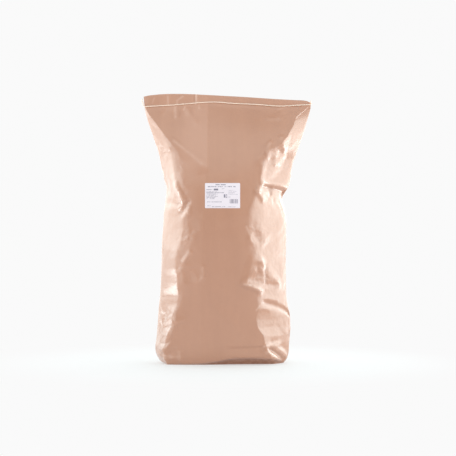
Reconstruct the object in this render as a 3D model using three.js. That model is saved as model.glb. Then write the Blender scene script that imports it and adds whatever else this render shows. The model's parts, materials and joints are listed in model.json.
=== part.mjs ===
// A 25 kg kraft paper sack with a pasted block bottom, standing upright. Its open mouth is pressed flat
// and sewn shut with one line of thread, and a white data label is stuck on the front.
// Millimetres, +Z up. The front faces -Y, and the origin is the middle of the base.

import * as THREE from 'three';

// ---- Paper ----

const FLAT_WIDTH = 500;                  // the empty tube of paper lying flat
const QUARTER_GIRTH = FLAT_WIDTH / 2;    // paper from the centre line of the front to the middle of a side
const FRONT_BULGE = 0.13;                // how far the front stands before its edges, of the half depth
const LEFT_FACET_SLOPE = 0.5;            // fall of the facet between the two creases
const RIGHT_FACET_SLOPE = 1.0;
const FACET_BOW = 0.05;                  // how far the facet is bowed out, of its width
const SIDE_ROUNDNESS = 0.12;             // 0 is a side with a sharp middle, 1 is a square corner

// What the filled sack measures: height, half width on the left and on the right, half depth, and how far
// the even part of the front panel reaches to the left and to the right.
const STATIONS = [
  [0, 182, 183, 76, 160, 150],
  [6, 189, 188, 81, 161, 149],
  [12, 193, 192, 85, 162, 148],
  [24, 200, 196, 90, 162, 146],
  [48, 203, 199, 95, 160, 138],
  [72, 200, 200, 98, 155, 130],
  [108, 197, 202, 101, 145, 119],
  [144, 195, 201, 104, 136, 110],
  [180, 192, 193, 107, 126, 105],
  [230, 188, 190, 111, 118, 102],
  [300, 185, 190, 115, 110, 100],
  [375, 183, 190, 119, 106, 98],
  [420, 180, 190, 120, 106, 97],
  [465, 177, 183, 120, 108, 97],
  [493, 173, 178, 119, 111, 98],
  [525, 170, 195, 116, 114, 101],
  [554, 177, 203, 110, 116, 106],
  [590, 185, 207, 100, 119, 118],
  [626, 193, 219, 87, 131, 140],
  [650, 200, 227, 76, 148, 165],
  [698, 216, 244, 49, 184, 203],
  [740, 229, 257, 22, 214, 222],
  [762, 234, 263, 8, 230, 249],
  [775, 236, 264, 1.5, 234, 262],
];

// The paper breaks along two lines beside the front panel. Each row gives the height, and how far the
// inner and the outer crease stand from the centre line.
const LEFT_CREASES = [
  [0, 158, 166],
  [44, 165, 180],
  [86, 150, 166],
  [110, 142, 153],
  [157, 136, 147],
  [181, 124, 136],
  [205, 114, 128],
  [240, 114, 136],
  [265, 121, 137],
  [285, 115, 141],
  [315, 100, 140],
  [340, 97, 135],
  [370, 98, 125],
  [400, 98, 118],
  [440, 98, 117],
  [465, 106, 122],
  [476, 114, 119],
  [500, 113, 126],
  [525, 112, 137],
  [558, 112, 142],
  [606, 118, 147],
  [630, 130, 153],
  [654, 150, 165],
  [679, 170, 176],
  [704, 187, 190],
  [729, 206, 208],
  [760, 226, 229],
  [775, 228, 232],
];
const RIGHT_CREASES = [
  [0, 150, 156],
  [44, 124, 130],
  [86, 118, 122],
  [110, 103, 107],
  [134, 97, 103],
  [157, 99, 105],
  [192, 101, 112],
  [222, 105, 122],
  [230, 82, 124],
  [238, 66, 125],
  [255, 72, 127],
  [275, 84, 128],
  [296, 98, 124],
  [306, 106, 120],
  [346, 86, 117],
  [393, 71, 116],
  [416, 76, 118],
  [463, 80, 118],
  [487, 91, 115],
  [511, 100, 112],
  [534, 102, 128],
  [558, 108, 160],
  [580, 117, 176],
  [606, 124, 185],
  [630, 142, 189],
  [654, 172, 196],
  [679, 193, 203],
  [704, 204, 208],
  [728, 212, 216],
  [740, 220, 225],
  [753, 237, 240],
  [765, 252, 256],
  [775, 256, 260],
];

// Along the foot of the front the paper turns under before it reaches the floor, below this line.
const FOOT_LINE = [[-210, 0], [-70, 4], [-10, 13], [25, 20], [120, 20], [165, 14], [200, 0]];
const FOOT_SLOPE = 1.15;

// ---- Mouth: the flat strip of paper above the seam ----

const SEAM_HEIGHT = 775;
const STRIP_HALF_THICKNESS = 1.2;
const STRIP_FLARE = 3;                   // the strip's ends spread a little above the seam
const STRIP_LEAN = 3;                    // its top edge leans back this far
const MOUTH_WAVE = 7;                    // the flat mouth swings this far before and behind the middle
const MOUTH_WAVE_LENGTH = 520;
const SEAM_LINE = [
  [-236, 770], [-153, 774], [-117, 777], [-45, 783], [-9, 783], [27, 780], [99, 777], [172, 772],
  [215, 774], [264, 776],
];
const TOP_EDGE = [
  [-240, 800], [-222, 803.5], [-185, 807], [-128, 808], [-56, 805.5], [8, 802.5], [70, 799.5],
  [116, 796.5], [161, 793.5], [215, 790.5], [250, 788], [266, 781],
];

// Upright creases in the strip and just below it: where, how far forward, and how wide.
const PLEATS = [
  [-220, 1.6, 9], [-196, -1.4, 12], [-165, 1.6, 10], [-133, -1.2, 12], [-117, 1.2, 9], [-82, 2.4, 10],
];
const PLEAT_DEPTH = 60;                  // they die out this far below the seam

// ---- Folds and dents of the filled body, as seen from the front ----

// Both ends, the height, and the reach on the left hand and on the right hand of one who walks along it.
const FRONT_FOLDS = [
  [[-175, 478], [-124, 475], -3, 18, 10],      // left waist
  [[-105, 478], [-123, 450], -8, 12, 12],      // pinch in the left crease
  [[-138, 534], [-114, 478], 4, 10, 14],       // its ridge above
  [[-193, 197], [-115, 207], -2.4, 40, 12],    // soft fold low on the left side
  [[-97, 331], [-115, 304], 4, 10, 10],        // small lobe beside the left crease
  [[-143, 662], [-61, 593], 2.6, 9, 34],       // diagonal fold of the left shoulder
  [[-197, 31], [-173, 20], 3, 8, 10],          // lower left corner
  [[-173, 20], [-130, 23], 2.5, 8, 8],
  [[115, 537], [188, 522], 3, 14, 8],          // brow of the dent in the right waist
  [[124, 526], [185, 510], -9, 16, 18],        // the dent
  [[115, 536], [102, 513], 4, 10, 12],         // the lobe at its front end
  [[102, 513], [116, 490], 3, 12, 10],
  [[140, 657], [124, 629], 3, 12, 9],          // crumpled right shoulder
  [[173, 675], [183, 643], 2.5, 9, 9],
  [[146, 589], [179, 614], 2.5, 12, 12],
  [[118, 579], [111, 549], 3, 12, 8],
  [[71, 405], [115, 304], 2, 14, 10],          // ridge down the right crease
  [[115, 304], [163, 243], 4.5, 16, 18],
  [[64, 237], [103, 222], 5, 22, 9],           // the corner that juts into the front
  [[88, 311], [68, 246], 2.5, 12, 18],
  [[128, 181], [199, 146], -5, 13, 8],         // fold low on the right side
  [[130, 39], [167, 5], 4, 9, 9],              // folded bottom corner on the right
  [[143, 44], [182, 11], -5, 8, 8],
  [[150, 52], [190, 16], 3, 9, 9],
];
const BACK_FOLDS = [
  [[-150, 470], [-92, 500], -8, 24, 30],
  [[-120, 330], [-60, 290], 5, 20, 30],
  [[118, 250], [176, 262], -7, 30, 16],
  [[70, 560], [150, 520], -6, 20, 30],
  [[-178, 150], [-110, 128], -6, 24, 14],
  [[90, 420], [124, 350], 4, 20, 14],
  [[-40, 660], [70, 640], 3, 20, 30],
  [[-150, 640], [-80, 590], 3, 12, 30],
  [[20, 180], [80, 120], 2, 24, 24],
];

// Crumpling over the whole body: flat facets of this size, and how far their corners stand in or out.
const CRUMPLES = [{ facet: 500 / 6, height: 1.5 }, { facet: 500 / 14, height: 1.1 }];
const FRONT_CALM = 0.16;                 // share of the crumpling left on the taut front and back panels
const SIDE_CALM = 0.6;                   // and on the sides

// ---- Label and thread ----

const LABEL_WIDTH = 103;
const LABEL_HEIGHT = 74;
const LABEL_THICKNESS = 0.5;
const LABEL_CENTRE = { x: -1, z: 500 };
const THREAD_RADIUS = 0.8;
const THREAD_SWELL = 0.15;               // the thread is thinner where it is pulled into its holes
const CLEARANCE = 0.4;                   // between pieces that touch

// ---- Mesh density ----

const QUARTER_COLUMNS = 24;
const PANEL_COLUMNS = 11;                // of those, the ones on the flat panel
const FACET_COLUMNS = 3;                 // and the ones between the two creases
const COLUMNS = 4 * QUARTER_COLUMNS;
const BODY_ROWS = 42;
const BASE_HEIGHTS = [0, 3, 9];
const STRIP_ROWS = 2;
const BODY_START = 18;
const THREAD_SIDES = 6;
const LABEL_COLUMNS = 12;
const LABEL_ROWS = 8;

const clamp = THREE.MathUtils.clamp;
const lerp = THREE.MathUtils.lerp;
const smoothstep = THREE.MathUtils.smoothstep;

// A smooth curve through [position, value] points: a cubic between each two, with the slope at a point
// taken from its two neighbours.
function curveThrough(points, position) {
  const last = points.length - 1;
  const at = clamp(position, points[0][0], points[last][0]);
  let i = 0;
  while (i < last - 1 && at > points[i + 1][0]) i += 1;
  const slopeAt = (k) => {
    const before = points[Math.max(k - 1, 0)];
    const after = points[Math.min(k + 1, last)];
    return (after[1] - before[1]) / (after[0] - before[0]);
  };
  const span = points[i + 1][0] - points[i][0];
  const t = (at - points[i][0]) / span;
  const rise = points[i + 1][1] - points[i][1];
  const startSlope = slopeAt(i) * span;
  const endSlope = slopeAt(i + 1) * span;
  const square = (3 * rise - 2 * startSlope - endSlope) * t * t;
  const cube = (startSlope + endSlope - 2 * rise) * t * t * t;
  return points[i][1] + startSlope * t + square + cube;
}

// The straight lines through [position, value] points.
function lineThrough(points, position) {
  let i = 0;
  while (i < points.length - 2 && position > points[i + 1][0]) i += 1;
  const t = clamp((position - points[i][0]) / (points[i + 1][0] - points[i][0]), 0, 1);
  return lerp(points[i][1], points[i + 1][1], t);
}

const column = (rows, index) => rows.map((row) => [row[0], row[index]]);
const DEPTH = column(STATIONS, 3);
const LEFT = {
  half: column(STATIONS, 1),
  edge: column(STATIONS, 4),
  inner: column(LEFT_CREASES, 1),
  outer: column(LEFT_CREASES, 2),
};
const RIGHT = {
  half: column(STATIONS, 2),
  edge: column(STATIONS, 5),
  inner: column(RIGHT_CREASES, 1),
  outer: column(RIGHT_CREASES, 2),
};

// The measures of one quarter of the section at height z. The back takes its creases from the other side
// of the front, so that it is no mirror image.
function quarterMeasures(z, isRight, isFront) {
  const own = isRight ? RIGHT : LEFT;
  const other = isRight ? LEFT : RIGHT;
  const half = curveThrough(own.half, z);
  const source = isFront ? own : other;
  const scale = isFront ? 1 : half / curveThrough(other.half, z);
  const edge = curveThrough(source.edge, z) * scale;
  const inner = lineThrough(source.inner, z) * scale;
  const outer = lineThrough(source.outer, z) * scale;
  const depth = curveThrough(DEPTH, z);
  const bulge = FRONT_BULGE / (edge * edge);
  const innerDepth = depth * (1 - bulge * inner * inner);
  const slope = isRight === isFront ? RIGHT_FACET_SLOPE : LEFT_FACET_SLOPE;
  const fallen = depth * (1 - FRONT_BULGE) - slope * Math.max(outer - edge, 0);
  const outerDepth = clamp(fallen, 0.3 * innerDepth, innerDepth - 0.15 * (outer - inner));
  const facetLength = Math.hypot(outer - inner, innerDepth - outerDepth);
  return { half, inner, outer, depth, bulge, innerDepth, outerDepth, facetLength };
}

// The paper's place round the girth: nothing at the front's centre line, positive to the right.
function signedArc(arc, isRight, isFront) {
  const place = isFront ? arc : 2 * QUARTER_GIRTH - arc;
  return isRight ? place : -place;
}

// A point of one quarter of the level section at height z: a shallow parabola to the inner crease, a
// slightly bowed facet to the outer crease, and a curve to the middle of the side. The step runs from 0 on the
// centre line to QUARTER_COLUMNS at the middle of the side.
function quarterPoint(z, isRight, isFront, step) {
  const is = quarterMeasures(z, isRight, isFront);
  const sideStart = PANEL_COLUMNS + FACET_COLUMNS;
  let x;
  let y;
  let arc;
  if (step <= PANEL_COLUMNS) {
    x = is.inner * (step / PANEL_COLUMNS);
    y = is.depth * (1 - is.bulge * x * x);
    arc = x;
  } else if (step <= sideStart) {
    const t = (step - PANEL_COLUMNS) / FACET_COLUMNS;
    x = lerp(is.inner, is.outer, t);
    y = lerp(is.innerDepth, is.outerDepth, t) + 4 * t * (1 - t) * FACET_BOW * (is.outer - is.inner);
    arc = is.inner + t * is.facetLength;
  } else {
    const t = (step - sideStart) / (QUARTER_COLUMNS - sideStart);
    const rest = (1 - t) * (1 - t);
    x = is.outer * rest + is.half * (1 - rest);
    y = is.outerDepth * (rest + 2 * t * (1 - t) * SIDE_ROUNDNESS);
    arc = lerp(is.inner + is.facetLength, QUARTER_GIRTH, t);
  }
  return { x: isRight ? x : -x, y: isFront ? -y : y, arc: signedArc(arc, isRight, isFront) };
}

// Column 0 is the middle of the left side. The columns run along the front to the right side and
// return along the back.
function ringPoint(z, column) {
  const wrapped = (column + COLUMNS) % COLUMNS;
  const quarter = Math.floor(wrapped / QUARTER_COLUMNS);
  const step = wrapped % QUARTER_COLUMNS;
  const isRight = quarter === 1 || quarter === 2;
  const isFront = quarter < 2;
  return quarterPoint(z, isRight, isFront, quarter % 2 === 0 ? QUARTER_COLUMNS - step : step);
}

// The place round the girth of a point seen from the front or the back at (x, z).
function arcSeenAt([x, z], isFront) {
  const isRight = x > 0;
  const is = quarterMeasures(z, isRight, isFront);
  const across = Math.abs(x);
  const sideStart = is.inner + is.facetLength;
  const beyond = clamp((across - is.outer) / (is.half - is.outer), 0, 1);
  let arc = sideStart + (1 - Math.sqrt(1 - beyond)) * (QUARTER_GIRTH - sideStart);
  if (across < is.outer) arc = is.inner + ((across - is.inner) / (is.outer - is.inner)) * is.facetLength;
  if (across < is.inner) arc = across;
  return signedArc(arc, isRight, isFront);
}

const nearestRoundGirth = (arc) => arc - 2 * FLAT_WIDTH * Math.round(arc / (2 * FLAT_WIDTH));

function placeFold([from, to, height, leftReach, rightReach], isFront) {
  const startArc = arcSeenAt(from, isFront);
  const run = nearestRoundGirth(arcSeenAt(to, isFront) - startArc);
  const climb = to[1] - from[1];
  const length = Math.hypot(run, climb);
  const line = { startArc, startZ: from[1], alongX: run / length, alongZ: climb / length, length };
  return { ...line, height, leftReach, rightReach };
}

const folds = [
  ...FRONT_FOLDS.map((fold) => placeFold(fold, true)),
  ...BACK_FOLDS.map((fold) => placeFold(fold, false)),
];

// A fold is a tent over its line: full height on the line, and nothing at its reach from it.
function foldHeight(arc, z) {
  let total = 0;
  for (const fold of folds) {
    const across = nearestRoundGirth(arc - fold.startArc);
    const up = z - fold.startZ;
    const along = across * fold.alongX + up * fold.alongZ;
    const aside = up * fold.alongX - across * fold.alongZ;
    const beyond = Math.max(-along, along - fold.length, 0);
    const reach = aside > 0 ? fold.leftReach : fold.rightReach;
    const distance = Math.hypot(aside / reach, (2 * beyond) / (fold.leftReach + fold.rightReach));
    total += fold.height * Math.max(0, 1 - distance);
  }
  return total;
}

// A repeatable number from -1 to 1 for each corner of the crumpling.
function cornerHeight(i, j, layer) {
  const mixed = Math.sin(i * 127.1 + j * 311.7 + layer * 74.7) * 43758.5453;
  return 2 * (mixed - Math.floor(mixed)) - 1;
}

// Flat three-cornered facets between corners of random height, on squares that are each cut along one
// diagonal or the other.
function facetHeight(arc, z, facet, layer) {
  const around = Math.round(2 * FLAT_WIDTH / facet);
  const swayed = arc + 0.2 * facet * Math.sin(z / facet * 1.7 + layer);
  const raised = z + 0.2 * facet * Math.sin(arc / facet * 1.3 + 2 * layer);
  const i = Math.floor(swayed / facet);
  const j = Math.floor(raised / facet);
  const corner = (di, dj) => cornerHeight(((i + di) % around + around) % around, j + dj, layer);
  const flip = corner(0, 0) > 0 ? 1 : 0;
  const across = swayed / facet - i;
  const fx = flip ? 1 - across : across;
  const fz = raised / facet - j;
  if (fx + fz < 1) {
    const base = corner(flip, 0);
    return base + fx * (corner(1 - flip, 0) - base) + fz * (corner(flip, 1) - base);
  }
  const top = corner(1 - flip, 1);
  return top + (1 - fx) * (corner(flip, 1) - top) + (1 - fz) * (corner(1 - flip, 0) - top);
}

// The label keeps the paper under it flat.
function labelCalm(x, z) {
  const sideways = Math.abs(x - LABEL_CENTRE.x) / LABEL_WIDTH;
  const upright = Math.abs(z - LABEL_CENTRE.z) / LABEL_HEIGHT;
  return smoothstep(Math.max(sideways, upright), 0.53, 0.8);
}

// How far the paper stands out of the plain section.
function relief(point, z) {
  const inner = lineThrough((point.x > 0 ? RIGHT : LEFT).inner, z);
  const slack = lerp(FRONT_CALM, SIDE_CALM, smoothstep(Math.abs(point.x), 0.85 * inner, 1.1 * inner));
  const inBody = smoothstep(z, 3, 30) * (1 - smoothstep(z, 690, 760));
  const isFront = point.y < 0;
  let crumple = 0;
  CRUMPLES.forEach((layer, index) => {
    crumple += layer.height * facetHeight(point.arc, z, layer.facet, index);
  });
  const folded = foldHeight(point.arc, z) * smoothstep(z, 1, 12) * (1 - smoothstep(z, 757, SEAM_HEIGHT));
  const turnedUnder = FOOT_SLOPE * Math.max(curveThrough(FOOT_LINE, point.x) - z, 0) * (isFront ? 1 : 0.5);
  const calm = isFront ? labelCalm(point.x, z) : 1;
  return calm * (slack * inBody * crumple + folded) - turnedUnder;
}

// The flat mouth swings in plan, and its pleats stand forward or back. Both fade down the body.
function mouthShift(x, z) {
  const wave = MOUTH_WAVE * Math.sin((2 * Math.PI * x) / MOUTH_WAVE_LENGTH);
  let pleats = 0;
  for (const [place, height, reach] of PLEATS) {
    pleats -= height * Math.max(0, 1 - Math.abs(x - place) / reach);
  }
  const pleatShare = smoothstep(z, SEAM_HEIGHT - PLEAT_DEPTH, SEAM_HEIGHT);
  return wave * smoothstep(z, 560, SEAM_HEIGHT) + pleats * pleatShare;
}

// A point of the body's surface at height z, with its folds.
function bodyPoint(z, column) {
  const point = ringPoint(z, column);
  const before = ringPoint(z, column - 1);
  const after = ringPoint(z, column + 1);
  const outward = new THREE.Vector2(after.y - before.y, before.x - after.x).normalize();
  const out = relief(point, z);
  const x = point.x + out * outward.x;
  const y = point.y + out * outward.y + mouthShift(point.x, z);
  const lift = (curveThrough(SEAM_LINE, x) - SEAM_HEIGHT) * smoothstep(z, 600, SEAM_HEIGHT);
  return new THREE.Vector3(x, y, z + lift);
}

// A point of the flat strip above the seam, share 0 at the seam and 1 at the top edge.
function stripPoint(share, column) {
  const point = ringPoint(SEAM_HEIGHT, column);
  const x = point.x * (1 + (2 * STRIP_FLARE * share) / FLAT_WIDTH);
  const thickness = STRIP_HALF_THICKNESS / curveThrough(DEPTH, SEAM_HEIGHT);
  const y = point.y * lerp(1, thickness, share) + mouthShift(point.x, SEAM_HEIGHT) + STRIP_LEAN * share;
  const z = lerp(curveThrough(SEAM_LINE, x), curveThrough(TOP_EDGE, x), share);
  return new THREE.Vector3(x, y, z);
}

function meshOf(name, positions, triangles, material) {
  const geometry = new THREE.BufferGeometry();
  const flat = positions.flatMap((point) => [point.x, point.y, point.z]);
  geometry.setAttribute('position', new THREE.Float32BufferAttribute(flat, 3));
  geometry.setIndex(triangles);
  geometry.computeVertexNormals();
  const mesh = new THREE.Mesh(geometry, material);
  mesh.name = name;
  return mesh;
}

// Two triangles for each square between two rows of the same wrapped length.
function joinRows(triangles, lower, upper, length) {
  for (let i = 0; i < length; i += 1) {
    const next = (i + 1) % length;
    triangles.push(lower + i, lower + next, upper + next, lower + i, upper + next, upper + i);
  }
}

// Closes a flat ring with strips from its front edge to its back edge.
function closeRing(triangles, ring, faceUp) {
  for (let i = 0; i < COLUMNS / 2; i += 1) {
    const front = ring + i;
    const nextFront = ring + i + 1;
    const back = ring + ((COLUMNS - i) % COLUMNS);
    const nextBack = ring + COLUMNS - i - 1;
    const halves = [[front, nextFront, nextBack], [front, nextBack, back]];
    for (const [a, b, c] of halves) {
      if (a === b || b === c || a === c) continue;
      triangles.push(...(faceUp ? [a, b, c] : [a, c, b]));
    }
  }
}

function makeSack() {
  const heights = [...BASE_HEIGHTS];
  for (let row = 0; row <= BODY_ROWS; row += 1) {
    heights.push(lerp(BODY_START, SEAM_HEIGHT, row / BODY_ROWS));
  }
  const positions = [];
  for (const z of heights) {
    for (let column = 0; column < COLUMNS; column += 1) positions.push(bodyPoint(z, column));
  }
  for (let row = 1; row <= STRIP_ROWS; row += 1) {
    for (let column = 0; column < COLUMNS; column += 1) positions.push(stripPoint(row / STRIP_ROWS, column));
  }
  const rows = heights.length + STRIP_ROWS;
  const triangles = [];
  for (let row = 0; row < rows - 1; row += 1) {
    joinRows(triangles, row * COLUMNS, (row + 1) * COLUMNS, COLUMNS);
  }
  closeRing(triangles, 0, false);
  closeRing(triangles, (rows - 1) * COLUMNS, true);
  const kraft = new THREE.MeshStandardMaterial({ color: 0xc69a80, roughness: 0.55, metalness: 0 });
  return meshOf('sack', positions, triangles, kraft);
}

// The front of the body under the label, at (x, z) as seen from the front.
function frontPoint(x, z) {
  const { depth, bulge } = quarterMeasures(z, x > 0, true);
  return new THREE.Vector3(x, -depth * (1 - bulge * x * x) + mouthShift(x, z), z);
}

function makeLabel() {
  const positions = [];
  const width = LABEL_COLUMNS + 1;
  for (const offset of [CLEARANCE, CLEARANCE + LABEL_THICKNESS]) {
    for (let row = 0; row <= LABEL_ROWS; row += 1) {
      for (let column = 0; column <= LABEL_COLUMNS; column += 1) {
        const x = LABEL_CENTRE.x + LABEL_WIDTH * (column / LABEL_COLUMNS - 0.5);
        const z = LABEL_CENTRE.z + LABEL_HEIGHT * (row / LABEL_ROWS - 0.5);
        const point = frontPoint(x, z);
        const along = frontPoint(x + 1, z).sub(frontPoint(x - 1, z));
        const up = frontPoint(x, z + 1).sub(frontPoint(x, z - 1));
        const outward = along.cross(up).normalize();
        positions.push(point.addScaledVector(outward, offset));
      }
    }
  }
  const sheet = width * (LABEL_ROWS + 1);
  const triangles = [];
  const addSquare = (a, b, c, d) => triangles.push(a, b, c, a, c, d);
  for (let row = 0; row < LABEL_ROWS; row += 1) {
    for (let column = 0; column < LABEL_COLUMNS; column += 1) {
      const at = row * width + column;
      addSquare(sheet + at, sheet + at + 1, sheet + at + width + 1, sheet + at + width);
      addSquare(at, at + width, at + width + 1, at + 1);
    }
    const left = row * width;
    const right = left + LABEL_COLUMNS;
    addSquare(left, sheet + left, sheet + left + width, left + width);
    addSquare(right, right + width, sheet + right + width, sheet + right);
  }
  const topRow = LABEL_ROWS * width;
  for (let column = 0; column < LABEL_COLUMNS; column += 1) {
    const top = topRow + column;
    addSquare(column, column + 1, sheet + column + 1, sheet + column);
    addSquare(top, sheet + top, sheet + top + 1, top + 1);
  }
  const paper = new THREE.MeshStandardMaterial({ color: 0xece8ee, roughness: 0.45, metalness: 0 });
  return meshOf('label', positions, triangles, paper);
}

// The thread lies on the seam line, along the front, round the end of the strip and back along the
// other side. Its two steps for each column make it swell on top of the paper and shrink at its holes.
function makeThread() {
  const steps = 2 * COLUMNS;
  const ring = [];
  for (let column = 0; column < COLUMNS; column += 1) {
    const here = bodyPoint(SEAM_HEIGHT, column);
    const next = bodyPoint(SEAM_HEIGHT, (column + 1) % COLUMNS);
    ring.push(here, here.clone().lerp(next, 0.5));
  }
  const positions = [];
  for (let step = 0; step < steps; step += 1) {
    const before = ring[(step + steps - 1) % steps];
    const after = ring[(step + 1) % steps];
    const outward = new THREE.Vector3(after.y - before.y, before.x - after.x, 0).normalize();
    const up = new THREE.Vector3(0, 0, 1);
    const centre = ring[step].clone().addScaledVector(outward, THREAD_RADIUS + CLEARANCE);
    const radius = THREAD_RADIUS - (step % 2) * THREAD_SWELL;
    for (let side = 0; side < THREAD_SIDES; side += 1) {
      const angle = (2 * Math.PI * side) / THREAD_SIDES;
      const spoke = outward.clone().multiplyScalar(Math.cos(angle)).addScaledVector(up, Math.sin(angle));
      positions.push(centre.clone().addScaledVector(spoke, radius));
    }
  }
  const triangles = [];
  for (let step = 0; step < steps; step += 1) {
    joinRows(triangles, ((step + 1) % steps) * THREAD_SIDES, step * THREAD_SIDES, THREAD_SIDES);
  }
  const cotton = new THREE.MeshStandardMaterial({ color: 0xf1ebe2, roughness: 0.8, metalness: 0 });
  return meshOf('thread', positions, triangles, cotton);
}

const filledSack = new THREE.Group();
filledSack.add(makeSack(), makeLabel(), makeThread());

export default filledSack;
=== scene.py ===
# %% [markdown]
# # A kraft paper sack, sewn shut
#
# The object is a tall brown paper sack that holds 25 kg. It stands on a pasted block bottom, its
# mouth is pressed flat and sewn shut with one white thread, and a white data label is stuck on the
# front. The CAD frame holds its size and its main shape. This lesson makes the paper itself: a fine
# creased surface, the satin finish, the stitches and the label.

# %% Load the frame
import json
import math

import bpy
import numpy as np
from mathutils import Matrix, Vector

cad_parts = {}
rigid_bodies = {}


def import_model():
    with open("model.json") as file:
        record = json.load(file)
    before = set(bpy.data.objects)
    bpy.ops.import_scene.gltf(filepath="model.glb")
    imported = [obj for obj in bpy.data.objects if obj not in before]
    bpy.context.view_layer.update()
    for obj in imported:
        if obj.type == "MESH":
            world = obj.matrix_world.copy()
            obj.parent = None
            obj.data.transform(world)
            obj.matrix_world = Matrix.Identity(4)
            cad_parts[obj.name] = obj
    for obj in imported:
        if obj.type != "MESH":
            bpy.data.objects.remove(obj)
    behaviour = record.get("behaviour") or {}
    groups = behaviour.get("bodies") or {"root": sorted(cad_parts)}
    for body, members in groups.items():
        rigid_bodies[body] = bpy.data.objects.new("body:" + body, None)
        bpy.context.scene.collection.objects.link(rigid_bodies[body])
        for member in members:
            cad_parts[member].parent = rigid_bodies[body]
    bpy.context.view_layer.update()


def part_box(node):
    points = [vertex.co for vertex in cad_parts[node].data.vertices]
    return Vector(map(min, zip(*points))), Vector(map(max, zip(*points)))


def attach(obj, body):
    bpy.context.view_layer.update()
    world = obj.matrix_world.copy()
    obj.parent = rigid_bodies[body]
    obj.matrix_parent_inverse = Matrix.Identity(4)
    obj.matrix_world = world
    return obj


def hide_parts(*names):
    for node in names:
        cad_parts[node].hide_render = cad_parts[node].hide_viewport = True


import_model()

# %% [markdown]
# ## Units and the three CAD nodes
#
# A sack maker works in millimetres, so every size below is in millimetres and becomes metres only
# when a surface is put into its mesh. The boxes of the sack, its label and its thread are read from
# the frame and printed here: they are what the sizes further down were fitted to.

# %% Sizes from the frame
MM = 0.001


def node_box(name):
    """The lowest and highest corner of a CAD node, in millimetres."""
    low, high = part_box(name)
    return np.array(low) / MM, np.array(high) / MM


for name in ("sack", "label", "thread"):
    print(name, *(corner.round(1) for corner in node_box(name)))

# %% [markdown]
# ## What the filled sack measures
#
# The empty sack is a flat tube 500 mm wide. Filling it rounds the tube, but the girth of paper stays
# the same, so where the sack is narrow it is deep. Each row says, for one height, half the width on
# the left and on the right, and half the depth.
#
# Beside the flat front panel the paper doesn't turn at once. It breaks along two lines: an inner
# crease, where the panel ends, and an outer crease, where the side begins. Between them lies a narrow
# slanting facet that widens and pinches on its way down. Both creases run up into the corner of the
# mouth.

# %% Stations of the filled body
FLAT_WIDTH = 500
QUARTER_GIRTH = FLAT_WIDTH / 2
GIRTH = 2 * FLAT_WIDTH
FRONT_BULGE = 0.13
LEFT_FACET_SLOPE = 0.5
RIGHT_FACET_SLOPE = 1.0
LEAST_FACET_SLOPE = 0.15
LEAST_OUTER_DEPTH = 0.3
FACET_BOW = 0.05
SIDE_ROUNDNESS = 0.12
SEAM_HEIGHT = 775
SEAM_HALF_THICKNESS = 1.5
WAIST_HEIGHT = 465

STATIONS = np.array([
    # height, left, right, depth, left and right edge of the even part of the panel
    (0, 179, 182, 76, 160, 150),
    (6, 189, 188, 81, 161, 149),
    (12, 193, 192, 85, 162, 148),
    (24, 200, 196, 90, 162, 146),
    (48, 203, 199, 95, 160, 138),
    (72, 200, 200, 98, 155, 130),
    (108, 197, 202, 101, 145, 119),
    (144, 195, 201, 104, 136, 110),
    (180, 192, 193, 107, 126, 105),
    (230, 188, 190, 111, 118, 102),
    (300, 185, 190, 115, 110, 100),
    (375, 183, 190, 119, 106, 98),
    (420, 180, 190, 120, 106, 97),
    (465, 177, 183, 120, 108, 97),
    (493, 173, 178, 119, 111, 98),
    (525, 170, 195, 116, 114, 101),
    (554, 177, 203, 110, 116, 106),
    (590, 185, 207, 100, 119, 118),
    (626, 193, 219, 87, 131, 140),
    (650, 200, 227, 76, 148, 165),
    (698, 216, 244, 49, 184, 203),
    (740, 229, 257, 22, 214, 222),
    (762, 234, 263, 8, 230, 249),
    (SEAM_HEIGHT, 236, 264, SEAM_HALF_THICKNESS, 234, 262),
], float)
LEFT_CREASES = np.array([
    # height, inner, outer
    (0, 158, 166),
    (44, 165, 180),
    (86, 150, 166),
    (110, 142, 153),
    (157, 136, 147),
    (181, 124, 136),
    (205, 114, 132),
    (240, 114, 136),
    (265, 121, 137),
    (285, 115, 141),
    (315, 100, 140),
    (340, 97, 135),
    (370, 98, 125),
    (400, 98, 118),
    (440, 98, 117),
    (465, 106, 122),
    (476, 114, 119),
    (500, 113, 126),
    (525, 112, 137),
    (558, 112, 142),
    (606, 118, 147),
    (630, 130, 153),
    (654, 150, 165),
    (679, 170, 176),
    (704, 187, 190),
    (729, 206, 208),
    (760, 226, 229),
    (775, 228, 232),
], float)
RIGHT_CREASES = np.array([
    (0, 150, 156),
    (44, 124, 130),
    (86, 118, 122),
    (110, 103, 107),
    (134, 97, 103),
    (157, 99, 105),
    (192, 101, 112),
    (222, 105, 122),
    (230, 82, 124),
    (238, 66, 125),
    (255, 72, 127),
    (275, 84, 128),
    (296, 98, 124),
    (306, 106, 120),
    (346, 86, 117),
    (393, 71, 116),
    (416, 76, 118),
    (463, 80, 118),
    (487, 91, 115),
    (511, 100, 112),
    (534, 102, 128),
    (558, 108, 160),
    (580, 117, 176),
    (606, 124, 185),
    (630, 142, 189),
    (654, 172, 196),
    (679, 193, 203),
    (704, 204, 208),
    (728, 212, 216),
    (740, 220, 225),
    (753, 237, 240),
    (765, 252, 256),
    (775, 256, 260),
], float)
CURVE_NAMES = ("left", "right", "depth", "left edge", "right edge")
CURVES = {name: STATIONS[:, [0, column]] for column, name in enumerate(CURVE_NAMES, start=1)}
LINES = {side + " " + crease: table[:, [0, column]]
         for side, table in (("left", LEFT_CREASES), ("right", RIGHT_CREASES))
         for column, crease in enumerate(("inner", "outer"), start=1)}


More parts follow.
